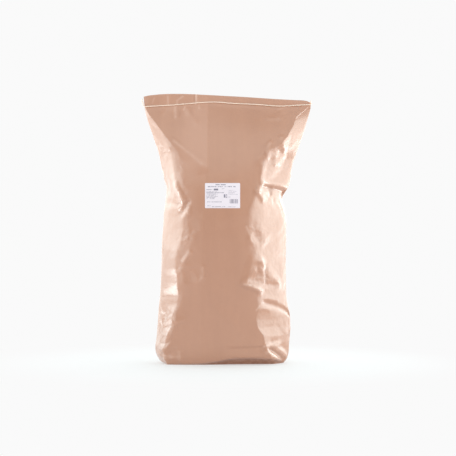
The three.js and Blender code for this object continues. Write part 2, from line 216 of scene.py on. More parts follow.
def curve_through(points, position):
    """A smooth curve through (position, value) points: between two points it is the cubic that has
    their values, and at each of them the slope of the line that joins its two neighbours."""
    places, values = np.array(points, float).T
    after = np.r_[places[1:], places[-1]]
    before = np.r_[places[0], places[:-1]]
    slopes = (np.r_[values[1:], values[-1]] - np.r_[values[0], values[:-1]]) / (after - before)
    position = np.clip(position, places[0], places[-1])
    i = np.clip(np.searchsorted(places, position) - 1, 0, len(places) - 2)
    span = places[i + 1] - places[i]
    t = (position - places[i]) / span
    rise = values[i + 1] - values[i]
    start, end = slopes[i] * span, slopes[i + 1] * span
    return values[i] + start * t + (3 * rise - 2 * start - end) * t**2 + (start + end - 2 * rise) * t**3


def smooth_step(value, low, high):
    """0 below low, 1 above high, and an even S between them."""
    t = np.clip((value - low) / (high - low), 0, 1)
    return t * t * (3 - 2 * t)


def rise_and_fall(value, start, full, fading, end):
    """0 up to start, 1 from full to fading, and 0 again from end on."""
    return smooth_step(value, start, full) * (1 - smooth_step(value, fading, end))


def measure(name, height):
    """One measure of the filled body at these heights. Widths and depth follow smooth curves, the
    creases straight lines, because stiff paper breaks straight."""
    if name in CURVES:
        return curve_through(CURVES[name], height)
    return np.interp(height, LINES[name][:, 0], LINES[name][:, 1])


def front_measure(name, x, height):
    """A measure of the front, on the side where x lies."""
    return np.where(x > 0, measure("right " + name, height), measure("left " + name, height))


print("depth at the waist:", round(2 * float(measure("depth", WAIST_HEIGHT))), "mm")

# %% [markdown]
# ## One level section of the sack
#
# A section has four quarters. In each, the front or back panel is a shallow parabola from the centre
# line to the inner crease, the facet is a slightly bowed line to the outer crease, and the side is a
# quadratic curve from there to the middle of the side, where it runs straight back. The back takes
# its creases from the other side of the front, so that it isn't a mirror image. The grid's columns go
# once round the sack and keep to the creases, so a crease can be as crisp as the mesh.

# %% The ring of columns
QUARTER_COLUMNS = 92
COLUMNS = 4 * QUARTER_COLUMNS
PANEL_SHARE = 42 / QUARTER_COLUMNS
FACET_SHARE = 57 / QUARTER_COLUMNS

ring_index = np.arange(COLUMNS)
ring_quarter = ring_index // QUARTER_COLUMNS
ring_step = ring_index % QUARTER_COLUMNS / QUARTER_COLUMNS
ring_is_right = (ring_quarter == 1) | (ring_quarter == 2)
ring_is_front = ring_quarter < 2
ring_share = np.where(ring_quarter % 2 == 0, 1 - ring_step, ring_step)
print(COLUMNS, "columns of about", round(GIRTH / COLUMNS, 2), "mm")


def quarter_measures(height, is_right, is_front):
    """Half the width, the two creases and their depths, for one quarter at these heights. The panel
    curves as y = depth * (1 - bulge * (x / edge)^2), and the inner crease lies on it. The outer crease
    is less deep by the facet's slope."""
    half = np.where(is_right, measure("right", height), measure("left", height))
    other_half = np.where(is_right, measure("left", height), measure("right", height))
    found = []
    for name in ("inner", "outer", "edge"):
        right, left = measure("right " + name, height), measure("left " + name, height)
        own, other = np.where(is_right, right, left), np.where(is_right, left, right)
        found.append(np.where(is_front, own, other * half / other_half))
    inner, outer, edge = found
    depth = measure("depth", height)
    bulge = FRONT_BULGE / edge**2
    inner_depth = depth * (1 - bulge * inner**2)
    slope = np.where(is_right == is_front, RIGHT_FACET_SLOPE, LEFT_FACET_SLOPE)
    outer_depth = depth * (1 - FRONT_BULGE) - slope * np.maximum(outer - edge, 0)
    deepest = inner_depth - LEAST_FACET_SLOPE * (outer - inner)
    outer_depth = np.clip(outer_depth, LEAST_OUTER_DEPTH * inner_depth, deepest)
    return half, inner, outer, inner_depth, outer_depth, bulge


def section(height, is_right, is_front, share):
    """Points of the plain section. On the panel x runs evenly to the inner crease. On the facet x and
    y run evenly to the outer crease. On the side they follow a quadratic curve. Also gives the length
    of paper from the front's centre."""
    half, inner, outer, inner_depth, outer_depth, bulge = quarter_measures(height, is_right, is_front)
    t_panel = np.clip(share / PANEL_SHARE, 0, 1)
    t_facet = np.clip((share - PANEL_SHARE) / (FACET_SHARE - PANEL_SHARE), 0, 1)
    t_side = np.clip((share - FACET_SHARE) / (1 - FACET_SHARE), 0, 1)
    rest = (1 - t_side) ** 2
    x_side = outer * rest + half * (1 - rest)
    y_side = outer_depth * (rest + 2 * t_side * (1 - t_side) * SIDE_ROUNDNESS)
    x_facet = inner + t_facet * (outer - inner)
    bow = FACET_BOW * 4 * t_facet * (1 - t_facet)
    y_facet = inner_depth + t_facet * (outer_depth - inner_depth) + bow * (outer - inner)
    y_panel = measure("depth", height) * (1 - bulge * (inner * t_panel) ** 2)
    on_panel, on_side = share <= PANEL_SHARE, share > FACET_SHARE
    x = np.where(on_panel, inner * t_panel, np.where(on_side, x_side, x_facet))
    y = np.where(on_panel, y_panel, np.where(on_side, y_side, y_facet))
    facet_length = np.hypot(outer - inner, inner_depth - outer_depth)
    side_arc = inner + facet_length + t_side * (QUARTER_GIRTH - inner - facet_length)
    arc = np.where(on_panel, x, np.where(on_side, side_arc, inner + t_facet * facet_length))
    arc = np.where(is_front, arc, 2 * QUARTER_GIRTH - arc)
    side = np.where(is_right, 1.0, -1.0)
    return side * x, np.where(is_front, -y, y), side * arc


# %% [markdown]
# ## Folds, dents and crumpling
#
# Stiff paper doesn't wrinkle like cloth. It breaks into flat facets that meet in crisp lines. Every
# fold that shows in the photo is a small tent over a line: highest, or deepest, on the line and
# nothing at its reach, which can differ on the two sides. The line is given as it is seen from the
# front, across and up. The rest of the crumpling is a sheet of three-cornered facets whose corners
# stand in or out at random.

# %% Named folds of the front
FRONT_FOLDS = [
    # from, to, height, reach on the left hand and on the right hand of one who walks along it
    # the pinch on the left and the slack paper round it
    ((-175, 478), (-124, 475), -1.2, 16, 8),
    ((-105, 478), (-123, 450), -6, 11, 10),
    ((-138, 534), (-114, 478), 3, 10, 14),
    ((-101, 472), (-101, 446), 3, 8, 8),
    ((-193, 197), (-115, 207), -1.0, 20, 12),
    ((-97, 331), (-115, 304), 4, 10, 10),
    ((-60, 287), (-61, 261), 1.5, 12, 6),
    ((-61, 261), (-85, 240), 1.2, 12, 6),
    # the diagonal fold of the left shoulder, and the glued lap of the tube
    ((-143, 662), (-61, 593), 2.6, 9, 34),
    ((-48, 760), (-47, 596), 1.4, 5, 60),
    ((-47, 596), (-61, 393), 0.3, 8, 50),
    ((-61, 393), (-64, 237), 0.5, 8, 50),
    ((-64, 237), (-65, 45), 0.3, 8, 50),
    # the lower left corner
    ((-197, 31), (-173, 20), 3, 8, 10),
    ((-173, 20), (-130, 23), 2.5, 8, 8),
    ((-127, 38), (-127, 5), 2.5, 8, 12),
    ((-138, 124), (-157, 82), 2.5, 9, 14),
    # the big dent on the right
    ((115, 537), (188, 522), 3, 14, 8),
    ((124, 526), (185, 510), -8, 13, 18),
    ((138, 526), (141, 504), -4, 6, 6),
    ((115, 536), (102, 513), 4, 10, 12),
    ((102, 513), (116, 490), 3, 12, 10),
    # crumpled paper on the right shoulder
    ((140, 657), (124, 629), 3, 12, 9),
    ((123, 634), (124, 620), -2.5, 6, 6),
    ((163, 642), (174, 628), -2.5, 8, 8),
    ((173, 675), (183, 643), 2.5, 9, 9),
    ((146, 589), (179, 614), 2.5, 12, 12),
    ((118, 579), (111, 549), 3, 12, 8),
    # crumpled paper lower on the right
    ((71, 405), (115, 304), 1.2, 14, 10),
    ((115, 304), (163, 243), 3, 16, 18),
    ((127, 298), (128, 241), -2.5, 6, 6),
    ((64, 237), (103, 222), 5, 22, 9),
    ((88, 311), (68, 246), 2.5, 12, 18),
    ((128, 236), (162, 237), -2, 7, 9),
    ((128, 196), (161, 191), 1.5, 8, 8),
    ((128, 181), (199, 146), -5, 13, 8),
    # the lower right corner
    ((15, 50), (119, 52), -1.6, 5, 14),
    ((119, 52), (164, 60), 2.2, 9, 7),
    ((130, 39), (167, 5), 4, 9, 9),
    ((143, 44), (182, 11), -5, 8, 8),
    ((150, 52), (190, 16), 3, 9, 9),
    # small marks and gathers under the stitches
    ((168, 753), (169, 737), 1.2, 5, 8),
    ((135, 734), (168, 735), 1.0, 7, 5),
    ((182, 768), (182, 757), 1.2, 4, 4),
    ((-140, 768), (-141, 734), 1.8, 7, 7),
    ((-114, 768), (-108, 740), 1.8, 7, 9),
    ((-72, 770), (-71, 757), 1.5, 5, 7),
    ((-165, 768), (-177, 746), 1.5, 8, 8),
    ((-108, 753), (-83, 712), 2.0, 14, 18),
    # very shallow folds of the front panel
    ((-3, 428), (74, 446), 1.0, 26, 26),
    ((-52, 452), (-79, 346), 1.2, 20, 26),
    ((-20, 164), (50, 104), 1.0, 26, 26),
]
BACK_FOLDS = [
    ((-150, 470), (-92, 500), -8, 24, 30),
    ((-120, 330), (-60, 290), 5, 20, 30),
    ((118, 250), (176, 262), -7, 30, 16),
    ((70, 560), (150, 520), -6, 20, 30),
    ((-178, 150), (-110, 128), -6, 24, 14),
    ((90, 420), (124, 350), 4, 20, 14),
    ((-40, 660), (70, 640), 3, 20, 30),
    ((-150, 640), (-80, 590), 3, 12, 30),
    ((20, 180), (80, 120), 2, 24, 24),
]


FOLD_ROUNDNESS = 1.5


def arc_seen_at(x, height, is_front):
    """The place round the girth of a point seen at (x, height): x itself on the panel, evenly along
    the facet, and on the side the inverse of its quadratic curve."""
    measures = map(float, quarter_measures(height, x > 0, is_front))
    half, inner, outer, inner_depth, outer_depth, _ = measures
    facet_length = math.hypot(outer - inner, inner_depth - outer_depth)
    beyond = min(max((abs(x) - outer) / (half - outer), 0), 1)
    on_side = inner + facet_length + (1 - math.sqrt(1 - beyond)) * (QUARTER_GIRTH - inner - facet_length)
    on_facet = inner + (abs(x) - inner) / (outer - inner) * facet_length
    arc = abs(x) if abs(x) < inner else on_facet if abs(x) < outer else on_side
    return math.copysign(arc if is_front else 2 * QUARTER_GIRTH - arc, x)


def fold_height(arc, height, folds, is_front):
    """The sum of the folds' tents on the paper round the girth. A tent is 1 - q, where q is the
    distance from the line as a share of the reach, a little rounded at the top."""
    total = np.zeros(np.broadcast(arc, height).shape)
    for start, end, tall, left_reach, right_reach in folds:
        start_arc = arc_seen_at(start[0], start[1], is_front)
        run = arc_seen_at(end[0], end[1], is_front) - start_arc
        run, climb = run - GIRTH * round(run / GIRTH), end[1] - start[1]
        length = math.hypot(run, climb)
        across = arc - start_arc
        across = across - GIRTH * np.round(across / GIRTH)
        up = height - start[1]
        along = (across * run + up * climb) / length
        aside = (up * run - across * climb) / length
        beyond = np.maximum(np.maximum(-along, along - length), 0)
        reach = np.where(aside > 0, left_reach, right_reach)
        q = np.hypot(aside / reach, 2 * beyond / (left_reach + right_reach))
        softness = FOLD_ROUNDNESS / min(left_reach, right_reach)
        total += tall * np.clip(1 + softness - np.hypot(q, softness), 0, None)
    return total


# %% Facets of crumpled paper
CRUMPLES = [
    # size of the facets, height of their corners
    (GIRTH / 12, 1.5),
    (GIRTH / 28, 1.1),
    (GIRTH / 60, 1.0),
    (GIRTH / 96, 0.5),
]
FACET_SWAY = 0.2
BACK_CRUMPLING = 0.3
CRUMPLED_PATCHES = [
    # across, up, radius, crumpling added there, or taken away where it is negative
    (142, 607, 55, 1.6),
    (98, 380, 55, 1.2),
    (105, 255, 55, 2.0),
    (-100, 380, 45, 1.0),
    (-102, 270, 48, 1.4),
    (-145, 130, 55, 1.2),
    (-165, 45, 45, 1.8),
    (140, 50, 45, 1.0),
    (140, 500, 40, 1.0),
    # the calm plane of the left side
    (-170, 400, 75, -0.4),
    (-170, 290, 75, -0.4),
    (-175, 220, 60, -0.4),
]


def added_crumpling(x, height, is_front, inner, outer):
    """The sum of what the patches add: in full up to the share inner of a patch's radius, nothing
    beyond the share outer, and less on the back."""
    added = 0
    for across, up, radius, extra in CRUMPLED_PATCHES:
        away = np.hypot(x - across, height - up)
        added = added + extra * (1 - smooth_step(away, inner * radius, outer * radius))
    return added * np.where(is_front, 1, BACK_CRUMPLING)


def corner_height(i, j, layer):
    """A repeatable number from -1 to 1 for each corner of the facets."""
    mixed = np.sin(i * 127.1 + j * 311.7 + layer * 74.7) * 43758.5453
    return 2 * (mixed - np.floor(mixed)) - 1


def facet_height(arc, height, facet, layer):
    """Flat facets on squares that are each cut along one diagonal or the other, on a net that sways
    both ways. Inside a square the height is the plane through three of its corners."""
    around = round(GIRTH / facet)
    swayed = (arc + FACET_SWAY * facet * np.sin(height / facet * 1.7 + layer)) / facet
    raised = (height + FACET_SWAY * facet * np.sin(arc / facet * 1.3 + 2 * layer)) / facet
    i, j = np.floor(swayed), np.floor(raised)

    def corner(di, dj):
        return corner_height((i + di) % around, j + dj, layer)

    near, far = corner(0, 0), corner(1, 0)
    near_up, far_up = corner(0, 1), corner(1, 1)
    flip = near > 0
    fx = np.where(flip, 1 - (swayed - i), swayed - i)
    fz = raised - j
    a, b = np.where(flip, far, near), np.where(flip, near, far)
    c, d = np.where(flip, far_up, near_up), np.where(flip, near_up, far_up)
    low = a + fx * (b - a) + fz * (c - a)
    high = d + (1 - fx) * (c - d) + (1 - fz) * (b - d)
    return np.where(fx + fz < 1, low, high)


# %% [markdown]
# ## The paper's relief
#
# The taut front and back panels stay calm, the slack sides crumple, and the label keeps the paper
# under it flat. Along the foot of the front the paper turns under the sack before it reaches the
# floor. That turn could be one more part of the relief, but the relief moves the paper along its
# normals, which meet at the corners of the foot, and there the paper would cross itself. So the turn
# moves it straight back. The relief is blurred once over its nearest neighbours, so that a slanted
# crease isn't a staircase on the grid.

# %% Relief of the body
FRONT_CALM = 0.16
SIDE_CALM = 0.6
LABEL_CENTRE = (-1, 500)
LABEL_SIZE = (103, 74)
FOOT_LINE = [(-210, 0), (-70, 4), (-10, 13), (25, 20), (120, 20), (165, 14), (200, 0)]
FOOT_SLOPE = 1.15
FOOT_SLOPE_SHARE_BEHIND = 0.5
CRUMPLED_HEIGHTS = (3, 30, 690, 760)
FOLDED_HEIGHTS = (1, 12, 757, SEAM_HEIGHT)
CALM_ROUND_LABEL = (0.53, 0.8)


def blur_round(grid):
    """Each value becomes half of itself and a quarter of each neighbour round the ring."""
    return 0.25 * np.roll(grid, 1, 1) + 0.5 * grid + 0.25 * np.roll(grid, -1, 1)


def soften(grid, rounds=1):
    """The same blur round the ring and then up the rows, some number of times."""
    for _ in range(rounds):
        grid = blur_round(grid)
        padded = np.vstack([grid[:1], grid, grid[-1:]])
        grid = 0.25 * padded[:-2] + 0.5 * grid + 0.25 * padded[2:]
    return grid


def relief(x, is_front, arc, height):
    """How far the paper stands out of the plain section: slack * facets + folds, and nothing under
    the label. The broadest facets grow no further once the paper is fully slack."""
    beside = smooth_step(np.abs(x) / front_measure("inner", x, height), 0.85, 1.1)
    slack = FRONT_CALM + (SIDE_CALM - FRONT_CALM) * beside
    slack = slack + added_crumpling(x, height, is_front, 0.4, 1)
    sideways = np.abs(x - LABEL_CENTRE[0]) / LABEL_SIZE[0]
    upright = np.abs(height - LABEL_CENTRE[1]) / LABEL_SIZE[1]
    calm = np.where(is_front, smooth_step(np.maximum(sideways, upright), *CALM_ROUND_LABEL), 1)
    (broad, broad_tall), *finer = CRUMPLES
    crumple = np.minimum(slack, 1) * broad_tall * facet_height(arc, height, broad, 0)
    crumple = crumple + slack * sum(tall * facet_height(arc, height, facet, layer)
                                    for layer, (facet, tall) in enumerate(finer, start=1))
    folds = fold_height(arc, height, FRONT_FOLDS, True) + fold_height(arc, height, BACK_FOLDS, False)
    crumple = crumple * rise_and_fall(height, *CRUMPLED_HEIGHTS)
    return calm * (crumple + folds * rise_and_fall(height, *FOLDED_HEIGHTS))


def turned_under(x, y, is_front, height):
    """Where paper that turns under the sack lies from front to back. Below the foot's line it moves
    in by slope * line * (1 - (height / line)^3), so it turns in sharply and reaches the floor upright.
    It moves half as far on the back, and less and less towards the middle of the side."""
    line = np.maximum(curve_through(FOOT_LINE, x), 0.1)
    slope = FOOT_SLOPE * np.where(is_front, 1, FOOT_SLOPE_SHARE_BEHIND)
    foot = slope * line * (1 - np.clip(height / line, 0, 1) ** 3)
    return y - np.sign(y) * foot * smooth_step(np.abs(y), 5, 50)


# %% [markdown]
# ## The mouth
#
# Above the seam the two walls lie flat on each other. The strip swings a little in plan, carries a
# few upright pleats from handling, and its top edge isn't cut quite level. The seam wanders too.

# %% Shape of the mouth
MOUTH_WAVE = 7
MOUTH_WAVE_LENGTH = 520
STRIP_FLARE = 3
STRIP_LEAN = 3
STRIP_HEIGHT = 27
STRIP_HALF_THICKNESS = 1.2
WALL = 0.6
CUT_EDGE_RISE = 0.012
PLEAT_DEPTH = 60
SEAM_LINE = [(-236, 770), (-153, 774), (-117, 777), (-45, 783), (-9, 783), (27, 780), (99, 777),
             (172, 772), (215, 774), (264, 776)]
TOP_EDGE = [(-240, 800), (-222, 803.5), (-185, 807), (-128, 808), (-56, 805.5), (8, 802.5),
            (70, 799.5), (116, 796.5), (161, 793.5), (215, 790.5), (250, 788), (266, 781)]
PLEATS = [
    # place across, height, reach
    (-220, 1.6, 9),
    (-196, -1.4, 12),
    (-165, 1.6, 10),
    (-133, -1.2, 12),
    (-117, 1.2, 9),
    (-82, 2.4, 10),
]


def mouth_shift(x, height):
    """How far the flat mouth stands behind the middle: one long wave and the pleats' tents. Both
    fade down the body."""
    wave = MOUTH_WAVE * np.sin(2 * math.pi * x / MOUTH_WAVE_LENGTH)
    pleats = sum(-tall * np.clip(1 - np.abs(x - place) / reach, 0, None) for place, tall, reach in PLEATS)
    return (wave * smooth_step(height, 560, SEAM_HEIGHT)
            + pleats * smooth_step(height, SEAM_HEIGHT - PLEAT_DEPTH, SEAM_HEIGHT))


# %% [markdown]
# ## Building the sack's surface
#
# The whole sack is one grid: rows of the same ring of columns, from the middle of the underside out
# to the bottom edge, up the body, up the strip, over the cut edge of the paper and down into the
# slit between the two walls. A ring is closed by strips from its front half to its back half, so
# there is no pole.

# %% Helpers for grids and meshes
def grid_normals(points):
    """Unit normals of a grid that wraps round its columns: the cross product of the steps along
    the ring and up the rows."""
    along = np.roll(points, -1, 1) - np.roll(points, 1, 1)
    up = np.gradient(points, axis=0)
    normal = np.cross(along, up)
    return normal / np.maximum(np.linalg.norm(normal, axis=2, keepdims=True), 1e-9)


def ring_faces(rows, columns, first=0):
    """Four-sided faces between the rows of a grid whose columns wrap round."""
    row, column = np.meshgrid(np.arange(rows - 1), np.arange(columns), indexing="ij")
    here, beside = row * columns + column, row * columns + (column + 1) % columns
    faces = np.stack([here, beside, beside + columns, here + columns], axis=2)
    return first + faces.reshape(-1, 4)


def sheet_faces(rows, columns):
    """Four-sided faces of a sheet that doesn't wrap, of so many rows and columns of cells."""
    row, column = np.meshgrid(np.arange(rows), np.arange(columns), indexing="ij")
    here = (row * (columns + 1) + column).ravel()
    return np.stack([here, here + 1, here + columns + 2, here + columns + 1], axis=1)


def closing_faces(first, columns, face_up):
    """Strips across a flat ring, from each column of its front to the mirrored one of its back."""
    front = np.arange(1, columns // 2 - 1)
    strips = np.stack([front, front + 1, columns - front - 1, columns - front], axis=1)
    ends = np.array([(0, 1, columns - 1), (columns // 2 - 1, columns // 2, columns // 2 + 1)])
    if not face_up:
        strips, ends = strips[:, ::-1], ends[:, ::-1]
    return first + strips, first + ends


def put_in_mesh(name, points, faces, smooth=True):
    """A Blender mesh object at the origin, from points in millimetres and lists of faces."""
    mesh = bpy.data.meshes.new(name)
    vertices = (np.asarray(points, float).reshape(-1, 3) * MM).tolist()
    mesh.from_pydata(vertices, [], [list(map(int, face)) for face in faces])
    mesh.validate()
    mesh.polygons.foreach_set("use_smooth", np.full(len(mesh.polygons), smooth))
    piece = bpy.data.objects.new(name, mesh)
    bpy.context.collection.objects.link(piece)
    print(name, len(mesh.vertices), "vertices,", sum(len(face) - 2 for face in faces), "triangles")
    return piece


def paint_attribute(piece, name, values):
    """Stores one number for each vertex, for a material to read."""
    attribute = piece.data.attributes.new(name, "FLOAT", "POINT")
    attribute.data.foreach_set("value", np.asarray(values, np.float32).ravel())


def add_uv(piece, name, u, v):
    """Stores (u, v) for each vertex as a UV map, corner by corner."""
    layer = piece.data.uv_layers.new(name=name)
    corners = np.zeros(len(piece.data.loops), int)
    piece.data.loops.foreach_get("vertex_index", corners)
    pairs = np.stack([np.ravel(u)[corners], np.ravel(v)[corners]], axis=1)
    layer.data.foreach_set("uv", pairs.astype(np.float32).ravel())


# %% Rows of the sack
BODY_ROWS = 216
UNDERSIDE_ROWS = 12
STRIP_ROWS = 9
SLIT_ROWS = 7
SLIT_DEPTH = 20
SLIT_HALF_WIDTH = 0.12
CREASE_BLURS = 4
CRISP_CREASES = (560, 745)


def body_heights():
    """Heights of the body's rows: close together round the bottom edge, then even."""
    edge = np.array([0, 0.6, 1.4, 2.6, 4.2, 6.2, 8.8, 12])
    return np.r_[edge, np.linspace(15.4, SEAM_HEIGHT, BODY_ROWS)]


def round_creases(x, y, height):
    """Blurs the section round the ring, more lower down, so that the creases beside the front
    panel are crisp at the mouth and soft where the filling presses on them."""
    amount = 1 - smooth_step(height, *CRISP_CREASES)
    for _ in range(CREASE_BLURS):
        x, y = x + amount * (blur_round(x) - x), y + amount * (blur_round(y) - y)
    return x, y


def make_body():
    """The creased body, its arc lengths, heights and relief, one row for each height."""
    height = body_heights()[:, None]
    x, y, arc = section(height, ring_is_right, ring_is_front, ring_share)
    height = np.broadcast_to(height, x.shape)
    x, y = round_creases(x, y, height)
    plain = np.stack([x, y, height], axis=2)
    out = soften(relief(x, ring_is_front, arc, height))
    points = plain + out[..., None] * grid_normals(plain)
    points[..., 1] = turned_under(points[..., 0], points[..., 1], ring_is_front, height)
    points[..., 1] += mouth_shift(points[..., 0], height)
    seam = curve_through(SEAM_LINE, points[..., 0])
    points[..., 2] += (seam - SEAM_HEIGHT) * smooth_step(height, 600, SEAM_HEIGHT)
    points[0, :, 2] = 0
    points[..., 2] = np.maximum(points[..., 2], 0)
    return points, arc, out


body, body_arc, body_relief = make_body()
print("body", body.shape, "relief from", body_relief.min().round(1), "to", body_relief.max().round(1))


# %% Strip, slit and underside
def make_strip():
    """Rows above the seam: the outer walls up to the cut edge, the edge, and down the slit."""
    foot = body[-1]
    middle = mouth_shift(foot[:, 0], SEAM_HEIGHT)
    outward = foot[:, 1] - middle
    rows = []

    def add_row(share, thickness):
        x = foot[:, 0] * (1 + STRIP_FLARE * share / QUARTER_GIRTH)
        z = foot[:, 2] + share * (curve_through(TOP_EDGE, x) - foot[:, 2])
        y = middle + outward / SEAM_HALF_THICKNESS * thickness + STRIP_LEAN * share
        rows.append(np.stack([x, y, z], axis=1))

    for share in np.linspace(0, 1, STRIP_ROWS + 1)[1:]:
        add_row(share, STRIP_HALF_THICKNESS)
    add_row(1 + CUT_EDGE_RISE, STRIP_HALF_THICKNESS - WALL / 2)
    opening = STRIP_HALF_THICKNESS - WALL - SLIT_HALF_WIDTH
    for share in np.linspace(1, 1 - SLIT_DEPTH / STRIP_HEIGHT, SLIT_ROWS):
        add_row(share, SLIT_HALF_WIDTH + opening * share**4)
    return np.array(rows)


def make_underside():
    """Rows of the flat bottom, from beside the middle line out to the bottom edge."""
    rim = body[0]
    rows = []
    for share in np.linspace(0, 1, UNDERSIDE_ROWS + 1)[1:-1]:
        rows.append(rim * np.array([1, share, 1]))
    return np.array(rows)


underside, strip = make_underside(), make_strip()
sack_points = np.concatenate([underside, body, strip])
sack_x, sack_y, sack_height = np.moveaxis(sack_points, 2, 0)
print("sack grid", sack_points.shape)

# %% The sack's mesh
sack_rows = len(sack_points)
bottom_strips, bottom_ends = closing_faces(0, COLUMNS, False)
slit_strips, slit_ends = closing_faces((sack_rows - 1) * COLUMNS, COLUMNS, True)
sack_faces = [*ring_faces(sack_rows, COLUMNS), *bottom_strips, *bottom_ends, *slit_strips, *slit_ends]
sack = put_in_mesh("paper_sack", sack_points, sack_faces)


def along_rows(points):
    """Length of paper up each column, from the first row."""
    steps = np.linalg.norm(np.diff(points, axis=0), axis=2)
    return np.vstack([np.zeros(points.shape[1]), np.cumsum(steps, axis=0)])


def spread(rows_before, values, rows_after):
    """Repeats the first and last row of values, so that it fits the whole grid."""
    first, last = np.repeat(values[:1], rows_before, 0), np.repeat(values[-1:], rows_after, 0)
    return np.vstack([first, values, last])


sack_arc = spread(len(underside), body_arc, len(strip))
add_uv(sack, "paper", sack_arc * MM, along_rows(sack_points) * MM)

# %% [markdown]
# ## What the paper's colour follows
#
# Ridges of the relief are lighter, partly as worn paper, where the fibres stand up, and partly as
# painted highlight along the pleats of the strip; its valleys are darker as painted shade. Listed
# creases get lines of painted highlight or painted shade. The lap is the glued strip of the tube's long
# joint, a double thickness of paper and a little paler. The paper that turns under the front is
# darkened as painted shade. Each of these could be worked out in the material, but there every
# crease costs a few nodes for every ray. So they are worked out once here, and each is stored as one
# number for each vertex, which the material reads.

# %% What the material reads
LAP_EDGE = [(0, -65), (237, -64), (393, -61), (596, -47), (807, -45)]
LAP_WIDTH = 110
LAP_WIDTH_ADDED_ABOVE = 150
LAP_SHARE_BELOW = 0.15
STRIP_SHARE = 0.5
MOUTH_REACH_BEHIND = 12
NEIGHBOURHOOD = 10
PLEAT_HIGHLIGHT_REACH = 4
PLEAT_HIGHLIGHT_HEIGHT = 1.2
SLACK_STRENGTH = 0.6


def ridge_height():
    """How far the relief stands above its own neighbourhood: positive on ridges, negative in
    valleys. The material lightens the ridges, partly as wear and partly as painted highlight, and
    darkens the valleys as painted shade. The pleats of the strip are added as narrow ridges, so that
    a painted highlight runs along them."""
    ridge = spread(len(underside), body_relief - soften(body_relief, NEIGHBOURHOOD), len(strip))
    pleats = sum(np.sign(tall) * np.clip(1 - np.abs(sack_x - place) / PLEAT_HIGHLIGHT_REACH, 0, 1)
                 for place, tall, _ in PLEATS)
    return ridge + PLEAT_HIGHLIGHT_HEIGHT * pleats * smooth_step(sack_height, 750, 785)


def lap_share():
    """1 just left of the lap's edge, fading to 0 over the lap's width, and 0 right of the edge. It is
    weaker lower down. The strip above the seam, where the walls lie doubled, is paler too."""
    beyond = np.interp(sack_height, *np.array(LAP_EDGE, float).T) - sack_x
    width = LAP_WIDTH + LAP_WIDTH_ADDED_ABOVE * smooth_step(sack_height, 740, 785)
    share = smooth_step(beyond, -2, 2) * (1 - smooth_step(beyond / width, 0.35, 1))
    share = share * (LAP_SHARE_BELOW + (1 - LAP_SHARE_BELOW) * smooth_step(sack_height, 450, 640))
    on_strip = STRIP_SHARE * smooth_step(sack_height, 774, 786)
    return np.maximum(share, on_strip) * (sack_y < MOUTH_REACH_BEHIND)


# lines of painted highlight along creases and folded corners, where they would catch the light
PAINTED_CREASE_HIGHLIGHTS = [
    # from, to, reach in millimetres, strength, as seen from the front
    # edges beside the front panel
    ((69, 410), (78, 387), 5, 0.5),
    ((78, 387), (101, 329), 4, 0.4),
    ((62, 240), (92, 234), 5, 0.6),
    ((92, 234), (110, 224), 5, 0.6),
    ((99, 163), (109, 176), 4, 0.5),
    ((-60, 290), (-59, 268), 5, 0.25),
    ((-59, 268), (-68, 250), 5, 0.25),
    ((-113, 470), (-112, 440), 4, 0.4),
    # the diagonal fold of the left shoulder
    ((-146, 664), (-100, 626), 6, 0.3),
    ((-100, 626), (-64, 595), 7, 0.25),
    # the folded corners of the bottom
    ((119, 54), (161, 65), 4, 0.5),
    ((132, 40), (164, 12), 4, 0.5),
    ((147, 55), (184, 23), 4, 0.5),
    ((-192, 37), (-172, 25), 5, 0.35),
    ((-172, 25), (-150, 24), 5, 0.3),
]
# lines of painted shade in the deeper creases
PAINTED_CREASE_SHADE = [
    ((125, 281), (125, 243), 4, 0.7),
    ((141, 526), (142, 504), 5, 1),
    ((150, 522), (168, 518), 4, 0.8),
    ((-136, 470), (-126, 486), 4, 0.6),
    ((21, 52), (119, 54), 3.5, 0.4),
    ((140, 47), (176, 17), 4, 0.8),
    ((124, 631), (123, 622), 4, 0.7),
    ((164, 638), (172, 630), 4, 0.7),
]


def near_creases(creases):
    """The strongest of some straight lines on the front, each falling evenly to 0 at its reach. The
    nearest point of a line is at t = (p - a).(b - a) / |b - a|^2 along it, kept from 0 to 1."""
    strongest = np.zeros_like(sack_x)
    for (start_x, start_z), (end_x, end_z), reach, strength in creases:
        run, climb = end_x - start_x, end_z - start_z
        across, up = sack_x - start_x, sack_height - start_z
        t = np.clip((across * run + up * climb) / (run**2 + climb**2), 0, 1)
        gap = np.hypot(across - t * run, up - t * climb)
        strongest = np.maximum(strongest, strength * (1 - gap / reach))
    return strongest * (sack_y < 0)


def slack_share():
    """0 on the taut panels, more on the slack paper beside them, most in the crumpled patches."""
    beside = smooth_step(np.abs(sack_x) / front_measure("inner", sack_x, sack_height), 0.95, 1.1)
    share = SLACK_STRENGTH * (beside + added_crumpling(sack_x, sack_height, sack_y < 0, 0.3, 0.9))
    return np.clip(share, 0, 1.5) * (1 - smooth_step(sack_height, 680, 750))


def painted_foot_shade():
    """1 on the paper of the front that turns under the sack, which is darkened there as painted shade."""
    return smooth_step(curve_through(FOOT_LINE, sack_x) - sack_height, 0, 4) * (sack_y < 0)


# lighter ridges, as wear and painted highlight; darker valleys, as painted shade
paint_attribute(sack, "ridge", ridge_height())
paint_attribute(sack, "lap", lap_share())
paint_attribute(sack, "slack", slack_share())
# painted highlight along the listed creases
paint_attribute(sack, "pale", near_creases(PAINTED_CREASE_HIGHLIGHTS))
# painted shade in the listed creases and on the foot that turns under the sack
paint_attribute(sack, "dark", np.maximum(near_creases(PAINTED_CREASE_SHADE), painted_foot_shade()))

# %% [markdown]
# ## The label
#
# The label is a thin plate that follows the front panel. It could be cut out of the sack's own faces,
# but a grid of its own lets its corners be round and gives the print an even map. Its two faces are
# the panel's parabola at two small distances, and one row of narrow faces joins them round the edge.

# %% Shape of the label
LABEL_GAP = 0.3
LABEL_THICKNESS = 0.25
LABEL_CORNER = 2.0
LABEL_CELLS = (52, 38)


